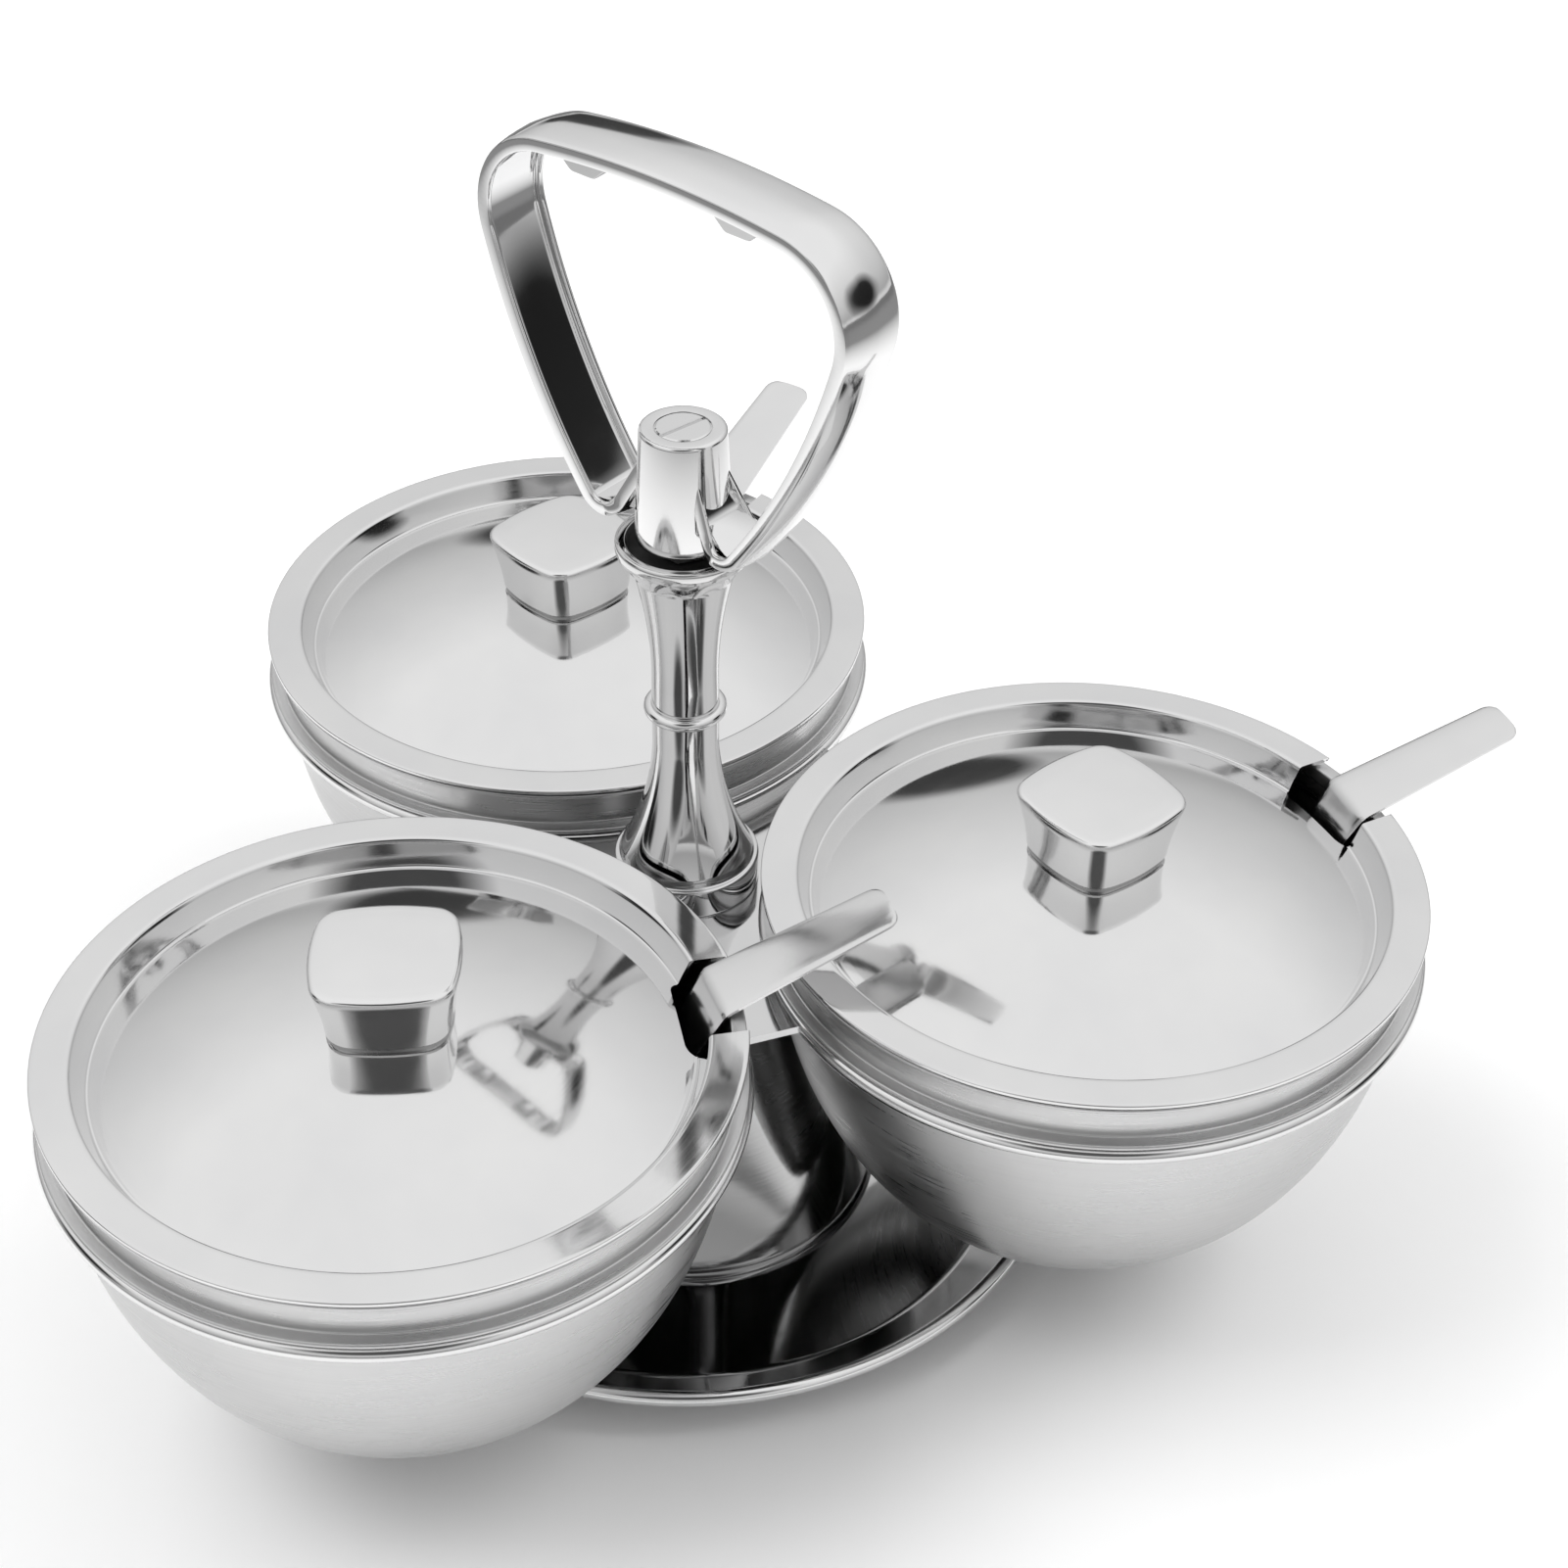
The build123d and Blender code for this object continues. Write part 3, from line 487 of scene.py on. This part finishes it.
KNOB = steel("steel_knob", 0.82, 0.10, marks=0.0, smudge=0.05, polar=False)
PLAIN = steel("steel_plain", 0.62, 0.30, marks=0.4, smudge=0.06)
NYLON = dark("nylon_dark", 0.012, 0.03, 0.5, 900.0)
FELT = dark("felt_black", 0.008, 0.03, 0.9, 2600.0, 0.4)

PAINT = {"steel_polished": MIRROR, "steel_satin": PLAIN, "felt_black": FELT, "nylon_dark": NYLON}
for row in frame["record"]["subparts"]:
    node = frame["nodes"][row["node"]]
    for k in range(len(node.data.materials)):
        node.data.materials[k] = PAINT[row["material_slot"]]


# Base
def base_pan():
    top = round_corners(PAN_LINE, PAN_CORNERS, 6)
    sheet = lathe(top + offset(top, -PAN_THICKNESS)[::-1])
    add("pan_sheet", sheet, "base", SPUN, ["base_pan"], 50)
    add("pan_rim", lathe(torus_line(**PAN_BEAD)), "base", RIM)


def bell():
    side = three(BELL_FOOT, BELL_WAIST, BELL_TOP, 48)
    line = round_corners(BELL_SEAT, {1: 0.4}) + side[1:] + BELL_INSIDE
    add("bell_shell", lathe(line), "base", SPUN, ["pedestal_bell"], 30)


# Column
def column():
    def raised(points):
        return [(r, COLUMN_Z + z) for r, z in points]

    step = round_corners(raised(COLUMN_STEP), {1: 0.5, 2: 1.6, 3: 0.5}, 5)
    lower = three(*raised(COLUMN_LOWER), 30)
    upper = three(*raised(COLUMN_UPPER), 30)
    cup = round_corners(raised(COLUMN_CUP), {1: 0.8, 2: 0.5, 3: 0.8, 4: 0.4})
    turned = lathe(step + lower[1:] + upper + cup[1:], 128)
    add("column_turned", turned, "carrier", MIRROR, ["column"], 38)
    bead = lathe(torus_line(**COLUMN_BEAD, steps=16), 96)
    add("column_bead", bead, "carrier", RIM)


# Handle
def route(steps=22):
    """Outer line of the handle's strap on one side, as (place, heading)."""
    line = [((0.0, HANDLE_TOP), 0.0)]
    for radius, turn in HANDLE_ARCS:
        place, heading = line[-1]
        points, _ = bend(place, heading, radius, -turn, steps)
        line += [(p, heading - turn * (i + 1) / steps) for i, p in enumerate(points)]
    (u, z), heading = line[-1]
    for i in range(1, 9):
        d = HANDLE_ROOT * i / 8
        line.append(((u + d * cos(radians(heading)), z + d * sin(radians(heading))), heading))
    return line


def strap():
    """Rings of the crowned channel section along the whole loop."""
    section = STRAP_HALF + [(-a, b) for a, b in STRAP_HALF[-2:0:-1]]
    line = route()
    outward = [((-p[0], p[1]), 180.0 - h - 90) for p, h in line[:0:-1]] + [(p, h + 90) for p, h in line]
    rings = []
    for (u, z), facing in outward:
        a = radians(facing)
        slim = 1.0
        if z < TAPER_BELOW:
            slim -= TAPER_BY * min(1.0, max(0.0, (TAPER_FROM - abs(u)) / TAPER_OVER))
        rings.append([(u + d * cos(a), s * slim, z + d * sin(a)) for s, d in section])
    return rings


def ridge(at):
    """Rings across one grip ridge below the handle's bar."""
    line = [(x, HANDLE_TOP - drop) for x, drop in RIDGE_LINE]
    side = round_corners(line, {1: 2.0, 2: 1.6, 3: 1.6, 4: 2.0})
    rings = []
    for y, t in ((-6.0, 0.5), (-5.6, 0.0), (5.6, 0.0), (6.0, 0.5)):
        narrow, rise = 1 - 0.04 * t, 0.5 * t
        rings.append([(at + x * narrow, y, z + (rise if z < HANDLE_TOP - 2 else 0)) for x, z in side])
    return rings


def web(hand):
    """Rings across the hollow web between the boss and one end of the strap."""
    curve = three(*[(x, BOSS_Z + z) for x, z in WEB_CURVE], 24)
    back, foot = WEB_CURVE[0][0], WEB_CURVE[-1]
    rings = []
    for across, sunk in ((-1.0, 0.3), (-0.94, 0.0), (0.94, 0.0), (1.0, 0.3)):
        ring = []
        for x, z in [(back, BOSS_Z + foot[1])] + curve:
            half = 4.2 + 1.9 * (x - back) / (foot[0] - back)
            ring.append((hand * (x - (sunk if x > back + 0.1 else 0)), across * half, z))
        rings.append(ring)
    return rings


def handle():
    pieces = [("strap", strap(), ["handle"])]
    pieces += [(f"ridge_{k}", ridge(at), ()) for k, at in enumerate(RIDGES_AT)]
    pieces += [(f"web_{k}", web(hand), ()) for k, hand in enumerate((1, -1))]
    for name, rings, nodes in pieces:
        verts, faces = skin(rings)
        shape = (spin(verts, radians(HANDLE_YAW)), faces)
        add(f"handle_{name}", shape, "base", CAST, nodes, 34)
    boss = lathe(round_corners(BOSS_LINE, BOSS_CORNERS, 5), 128, False)
    add("handle_boss", boss, "base", CAST, (), 34)


def screw():
    """Slotted head of the handle screw, in two halves."""
    start = asin(SLOT_HALF / SCREW_R)
    turns = [start + (pi - 2 * start) * k / 40 for k in range(41)]
    edge = [(SCREW_R * cos(a), SCREW_R * sin(a)) for a in turns]
    verts, faces = [], []
    for side in (1, -1):
        outer = [(x, y * side) for x, y in edge]
        inner = [(x * 0.94, max(y * 0.94, SLOT_HALF + 0.12) * side) for x, y in edge]
        levels = ((outer, BOSS_TOP - 0.8), (outer, BOSS_TOP - 0.12), (inner, BOSS_TOP + 0.05))
        half, over = skin([[(x, y, z) for x, y in ring] for ring, z in levels])
        faces += [tuple(len(verts) + v for v in face) for face in over]
        verts += half
    head = (spin(verts, SLOT_TURN), faces)
    add("handle_screw_head", head, "base", CAST, ["handle_screw"], 12)


# Bowls and rings
def bowl_side(shrink):
    """Line down a bowl's side to its middle, drawn in by a thickness."""
    line, heading = [(BOWL_R - shrink, BOWL_Z)], -90.0
    for radius, turn, steps in BOWL_ARCS:
        points, heading = bend(line[-1], heading, radius - shrink, -turn, steps)
        line += points
    return line


def bowl(side):
    outer, inner = bowl_side(0), bowl_side(BOWL_THICKNESS)
    rim = round_corners(BOWL_RIM, BOWL_RIM_CORNERS)
    line = [(0, outer[-1][1])] + outer[::-1] + rim[1:-1] + inner + [(0, inner[-1][1])]
    spun = lathe(line, RIM_SEGMENTS, False)
    add(f"bowl_{side}_spun", spun, f"bowl_{side}", SATIN, [f"bowl_{side}"], 40, centre(side))
    wire = lathe(torus_line(**RING), RIM_SEGMENTS)
    add(f"ring_{side}_wire", wire, "carrier", RIM, [f"ring_{side}"], 60, centre(side))


# Lids
def gap_half(r):
    """Half angle of the spoon notch at a radius."""
    if r <= NOTCH_IN + 1e-6:
        return 0.0
    cx, cy = NOTCH_IN + NOTCH_CORNER, NOTCH_HALF - NOTCH_CORNER
    if hypot(NOTCH_IN, cy) >= r:
        return acos(NOTCH_IN / r)
    if r >= hypot(cx, NOTCH_HALF):
        return asin(NOTCH_HALF / r)
    d = hypot(cx, cy)
    return atan2(cy, cx) + acos((r * r + d * d - NOTCH_CORNER * NOTCH_CORNER) / (2 * r * d))


def lid_line():
    """Line over a lid from its rim to its middle: flange, cove, groove and panel."""
    line = round_corners(LID_FLANGE, {1: 0.7}, 5) + LID_COVE_TOP + three(*LID_COVE, 12) + LID_GROOVE
    top = []
    for p, q in zip(line, line[1:]):
        top += between(p, q, int(hypot(q[0] - p[0], q[1] - p[1]) / 0.6) + 1)
    radii = [54.4, 54.0, 53.6, 53.2, 52.95, 52.8, 52.7, 52.63, 52.605, NOTCH_IN]
    radii += [51 - 1.5 * k for k in range(33)] + [EYE_R]
    return top + [line[-1]] + [(r, dome(r)) for r in radii]


def lid(side):
    top = lid_line()
    gaps = [gap_half(r) for r, _ in top]
    n = LID_SEGMENTS
    verts, index = [], {}
    for layer, line in (("top", top), ("under", offset(top, LID_THICKNESS))):
        for i, (r, z) in enumerate(line):
            t = gap_half(max(r, NOTCH_IN + 1e-4)) if gaps[i] else 0.0
            for j in range(n + 1):
                if not gaps[i] and j == n:
                    index[layer, i, j] = index[layer, i, 0]
                    continue
                a = t + (2 * pi - 2 * t) * j / n
                index[layer, i, j] = len(verts)
                verts.append((r * cos(a), r * sin(a), z))

    faces = []

    def face(*corners):
        faces.append(tuple(index[corner] for corner in corners))

    last = len(top) - 1
    for i in range(last):
        m = i + 1
        for j in range(n):
            k = j + 1
            face(("top", i, j), ("top", m, j), ("top", m, k), ("top", i, k))
            face(("under", i, j), ("under", i, k), ("under", m, k), ("under", m, j))
        if gaps[i]:
            for j in (0, n):
                face(("top", i, j), ("under", i, j), ("under", m, j), ("top", m, j))
    for j in range(n):
        k = j + 1
        face(("top", 0, j), ("top", 0, k), ("under", 0, k), ("under", 0, j))
        face(("top", last, j), ("under", last, j), ("under", last, k), ("top", last, k))
    pressed = (spin(verts, radians(NOTCH_AT[side])), faces)
    node = f"lid_{side}"
    add(f"lid_{side}_pressed", pressed, node, LID, [node], 48, centre(side))


# Knobs
def block_ring(side_length, inset, z, per=10):
    """One ring of a rounded square with bulging sides, drawn in by an inset."""
    bulge, corner = KNOB_BULGE, KNOB_CORNER
    radius = (side_length * side_length / 4 + bulge * bulge) / (2 * bulge)
    d = side_length / 2 + bulge - radius
    k = radius - corner
    # The corner's centre (c, c) lies k away from the side's centre (d, 0)
    c = (d + sqrt(2 * k * k - d * d)) / 2
    phi = atan2(c, c - d)
    arcs = [(d, 0.0, radius - inset, -phi, phi, per), (c, c, corner - inset, phi, pi / 2 - phi, 6)]
    quarter = []
    for cx, cy, r, a0, a1, steps in arcs:
        turns = [a0 + (a1 - a0) * i / steps for i in range(steps)]
        quarter += [(cx + r * cos(a), cy + r * sin(a), z) for a in turns]
    return [v for q in range(4) for v in spin(quarter, q * pi / 2)]


def knob(side):
    mid = SEAT_TOP - JOINT_DROP
    top = SEAT_TOP + KNOB_HEIGHT
    yaw = radians(KNOB_YAW[side])
    body = f"lid_{side}"
    rings = []
    for inset in (3.0, 0.0):
        rings.append([(x, y, dome(hypot(x, y)) + 0.01) for x, y, _ in block_ring(SEAT_SIDE, inset, 0.0)])
    rings += [block_ring(SEAT_SIDE, inset, mid + rise) for inset, rise in SEAT_EDGE]
    verts, faces = skin(rings)
    seat = (spin(verts, yaw), faces)
    # The seat wears the darkened steel, so it shows as a painted shadow line under the knob
    add(f"knob_{side}_seat", seat, body, SEAT_SHADE_STEEL, [f"knob_collar_{side}"], 32, centre(side))

    rings = [block_ring(KNOB_FOOT, inset, mid + rise) for inset, rise in KNOB_HEEL]
    low = mid + KNOB_HEEL[-1][1]
    for t in (k / 8 for k in range(1, 9)):
        rings.append(block_ring(KNOB_FOOT + KNOB_FLARE * t ** 1.4, 0.0, low + (top - mid - 1.3) * t))
    for b in (radians(90 * k / 5) for k in range(1, 6)):
        rings.append(block_ring(KNOB_TOP, KNOB_EDGE * (1 - cos(b)), top - KNOB_EDGE + 0.8 * sin(b)))
    for k, inset in enumerate((2.0, 3.0, 3.9)):
        rings.append(block_ring(KNOB_TOP, inset, top - 0.13 + 0.03 * k))
    verts, faces = skin(rings)
    block = (spin(verts, yaw), faces)
    add(f"knob_{side}_block", block, body, KNOB, [f"knob_{side}"], 32, centre(side))


# Spoons
def spoon_line(row):
    """Line over a spoon's strip, from its tip over the bend to the stem's end, with both ends."""
    seat_x = sqrt(LIP_R ** 2 - (row + GRIP_HALF) ** 2)
    rise = SPOON_THICKNESS / cos(GRIP_TILT) - (seat_x - SPOON_BEND_X) * tan(GRIP_TILT)
    bend_z = LIP_TOP + SPOON_GAP + rise
    tip = (SPOON_BEND_X + GRIP_LENGTH * cos(GRIP_TILT), bend_z + GRIP_LENGTH * sin(GRIP_TILT))
    end = (SPOON_BEND_X - STEM_LENGTH * cos(STEM_TILT), bend_z - STEM_LENGTH * sin(STEM_TILT))
    line = round_corners([tip, (SPOON_BEND_X, bend_z), end], {1: 4.0}, 8)
    fine = []
    for p, q in zip(line, line[1:]):
        fine += between(p, q, max(1, int(hypot(q[0] - p[0], q[1] - p[1]) / 2.0)))
    fine.append(end)
    near_tip = (0.15, 0.5, 1.0, 1.7, 2.5)
    extra = [(tip[0] - d * cos(GRIP_TILT), tip[1] - d * sin(GRIP_TILT)) for d in near_tip]
    return [tip] + extra + [p for p in fine[1:] if p[0] < extra[-1][0] - 0.3], tip, end


def spoon_half(x, tip_x):
    """Half width of a spoon's strip at a place along X."""
    if x >= SPOON_BEND_X:
        half = GRIP_HALF + (TIP_HALF - GRIP_HALF) * (x - SPOON_BEND_X) / (tip_x - SPOON_BEND_X)
    elif x > SPOON_BEND_X - STEM_TAPER:
        half = STEM_HALF + (GRIP_HALF - STEM_HALF) * (x - SPOON_BEND_X + STEM_TAPER) / STEM_TAPER
    else:
        half = STEM_HALF
    d = (tip_x - x) / cos(GRIP_TILT)
    if d < TIP_CORNER:
        half -= TIP_CORNER - sqrt(max(0.0, TIP_CORNER ** 2 - (TIP_CORNER - d) ** 2))
    return half


def spoon_strip(line, tip_x):
    """Strip with a crowned top and eased edges, in rings across it."""
    across = [-1, -0.93, -0.8, -0.5, 0, 0.5, 0.8, 0.93, 1]
    under = offset(line, SPOON_THICKNESS)
    verts, faces = [], []
    for layer in (line, under):
        for i, (x, z) in enumerate(layer):
            half = spoon_half(line[i][0], tip_x)
            nx = (line[i][0] - under[i][0]) / SPOON_THICKNESS
            nz = (line[i][1] - under[i][1]) / SPOON_THICKNESS
            for a in across:
                edge = abs(a) == 1
                if layer is line:
                    lift = -(0.30 * a ** 4 + (0.12 if edge else 0.0))
                else:
                    lift = 0.25 if edge else 0.0
                verts.append((x + nx * lift, a * half, z + nz * lift))
    m = len(across)
    k = len(line) * m
    for i in range(len(line) - 1):
        p, q = i * m, (i + 1) * m
        for j in range(m - 1):
            faces.append((p + j, p + j + 1, q + j + 1, q + j))
            faces.append((k + p + j, k + q + j, k + q + j + 1, k + p + j + 1))
        for j in (0, m - 1):
            faces.append((p + j, q + j, k + q + j, k + p + j))
    for p in (0, k - m):
        for j in range(m - 1):
            faces.append((p + j, k + p + j, k + p + j + 1, p + j + 1))
    return verts, faces


def spoon_dish(end):
    """Oval dish of a spoon, hung from the stem's end."""
    cx, cz = end[0] - DISH_LONG + 1.2, end[1]
    layers = []
    for inset, depth in ((0.0, 5.0), (1.2, 3.8)):
        layer = []
        for a in (pi / 2 * i / 14 for i in range(15)):
            long, wide = (DISH_LONG - inset) * sin(a), (DISH_WIDE - inset) * sin(a)
            turns = [2 * pi * k / 64 for k in range(64)]
            layer.append([(cx + long * cos(t), wide * sin(t), cz - depth * cos(a)) for t in turns])
        layers.append(layer)
    return skin(layers[0][1:] + layers[1][:0:-1])


def spoon(side):
    line, tip, end = spoon_line(abs(SPOON_ROW[side]))
    for name, (verts, faces), nodes in (("handle", spoon_strip(line, tip[0]), [f"spoon_{side}"]),
                                        ("dish", spoon_dish(end), ())):
        verts = [(x, y + SPOON_ROW[side], z) for x, y, z in verts]
        shape = (spin(verts, radians(SPOON_YAW[side])), faces)
        add(f"spoon_{side}_{name}", shape, f"spoon_{side}", SPOON, nodes, 40, centre(side))


base_pan()
bell()
column()
handle()
screw()
for which in BOWLS:
    bowl(which)
    lid(which)
    knob(which)
    spoon(which)


# Set, in metres
FLOOR_TONE = 0.94
FLOOR_HALF = 6
SKY = [(0.0, 0.75), (1.0, 1.0), (0.05, 0.45), (0.22, 0.62), (0.50, 0.80), (0.75, 0.98)]
# Dark screens round the set: direction, outer and inner half angle, depth
SCREENS = (
    ((-0.24, -0.63, 0.74), 27, 15, 0.9),
    ((-0.90, 0.34, 0.26), 17, 9, 0.97),
    ((0.92, -0.32, 0.22), 17, 9, 0.97),
    ((0.25, 0.95, 0.14), 9, 6, 0.9),
)


def floor_paint():
    """White floor; in mirrored views only, painted shade makes it darker far away where a shiny surface
    mirrors it.
    """
    mat, tree, shader = nodes_of("floor_paint")
    coord = tree.nodes.new("ShaderNodeTexCoord").outputs["Object"]
    fine = noise(tree, coord, 30.0, 3.0)
    tree.links.new(ramp(tree, fine, 0.75, 0.85), shader.inputs["Roughness"])
    length = tree.nodes.new("ShaderNodeVectorMath")
    length.operation = "LENGTH"
    tree.links.new(coord, length.inputs[0])
    # Painted shade: only glossy rays see the floor darken with distance, which puts a dark surround into
    # the metal's reflections
    far = ramp(tree, length.outputs["Value"], FLOOR_TONE, 0.22, 0.26, 0.60)
    glossy = tree.nodes.new("ShaderNodeLightPath").outputs["Is Glossy Ray"]
    change = maths(tree, "MULTIPLY", glossy, maths(tree, "SUBTRACT", far, FLOOR_TONE))
    tone = maths(tree, "ADD", FLOOR_TONE, change)
    grey = tree.nodes.new("ShaderNodeCombineColor")
    for k in range(3):
        tree.links.new(tone, grey.inputs[k])
    tree.links.new(grey.outputs[0], shader.inputs["Base Color"])
    shader.inputs["Specular IOR Level"].default_value = 0.1
    return mat


def floor():
    f = FLOOR_HALF
    mesh = bpy.data.meshes.new("floor")
    mesh.from_pydata([(-f, -f, 0), (f, -f, 0), (f, f, 0), (-f, f, 0)], [], [(0, 1, 2, 3)])
    obj = bpy.data.objects.new("floor", mesh)
    bpy.context.scene.collection.objects.link(obj)
    mesh.materials.append(floor_paint())


def studio():
    """White to the eye; to the pieces a sky of greys with dark screens in it."""
    world = bpy.data.worlds.new("studio")
    bpy.context.scene.world = world
    world.use_nodes = True
    tree = world.node_tree
    tree.nodes.clear()
    out = tree.nodes.new("ShaderNodeOutputWorld")
    mix = tree.nodes.new("ShaderNodeMixShader")
    seen = tree.nodes.new("ShaderNodeBackground")
    lit = tree.nodes.new("ShaderNodeBackground")
    seen.inputs["Color"].default_value = neutral(1)
    seen.inputs["Strength"].default_value = 1.0
    lit.inputs["Strength"].default_value = 1.0
    coord = tree.nodes.new("ShaderNodeTexCoord").outputs["Generated"]
    sep = tree.nodes.new("ShaderNodeSeparateXYZ")
    tree.links.new(coord, sep.inputs[0])
    tone = tones(tree, sep.outputs[2], [(place, neutral(grey)) for place, grey in SKY])
    for way, outer, inner, depth in SCREENS:
        dot = tree.nodes.new("ShaderNodeVectorMath")
        dot.operation = "DOT_PRODUCT"
        dot.inputs[1].default_value = Vector(way).normalized()
        tree.links.new(coord, dot.inputs[0])
        near = ramp(tree, dot.outputs["Value"], 1.0, 1.0 - depth, cos(radians(outer)), cos(radians(inner)))
        tone = maths(tree, "MULTIPLY", tone, near)
    tree.links.new(tone, lit.inputs["Color"])
    path = tree.nodes.new("ShaderNodeLightPath").outputs["Is Camera Ray"]
    tree.links.new(path, mix.inputs[0])
    tree.links.new(lit.outputs[0], mix.inputs[1])
    tree.links.new(seen.outputs[0], mix.inputs[2])
    tree.links.new(mix.outputs[0], out.inputs[0])


def softbox(name, place, width, length, power):
    """A soft light that faces the middle of the rack and isn't mirrored in it."""
    data = bpy.data.lights.new(name, "AREA")
    data.shape = "RECTANGLE"
    data.size = width
    data.size_y = length
    data.energy = power
    obj = bpy.data.objects.new(name, data)
    bpy.context.scene.collection.objects.link(obj)
    obj.visible_glossy = False
    obj.location = place
    obj.rotation_euler = (Vector((0, 0, 0.1)) - Vector(place)).to_track_quat("-Z", "Y").to_euler()


def camera():
    """The photograph's view, looking at a target from a distance in millimetres."""
    azimuth, elevation, roll, distance = radians(-20.81), radians(37.48), radians(0.96), 597.5
    target = Vector((23.1, 6.64, 90.0))
    flat = cos(elevation)
    place = target + distance * Vector((sin(azimuth) * flat, -cos(azimuth) * flat, sin(elevation)))
    look = (target - place).normalized()
    right = look.cross(Vector((0, 0, 1))).normalized()
    up = right.cross(look)
    right, up = cos(roll) * right + sin(roll) * up, -sin(roll) * right + cos(roll) * up
    data = bpy.data.cameras.new("camera")
    data.lens = 67.74
    data.sensor_width = 36.0
    data.sensor_fit = "HORIZONTAL"
    data.clip_start = 0.01
    obj = bpy.data.objects.new("camera", data)
    turn = Matrix((right, up, -look)).transposed().to_4x4()
    obj.matrix_world = Matrix.Translation(place * MM) @ turn
    bpy.context.scene.collection.objects.link(obj)
    bpy.context.scene.camera = obj


floor()
studio()
softbox("key", (-0.9, 0.3, 1.5), 1.2, 1.2, 14)
softbox("fill", (1.1, -0.2, 1.2), 0.8, 1.2, 8)
camera()
bpy.context.scene.view_settings.view_transform = "Standard"
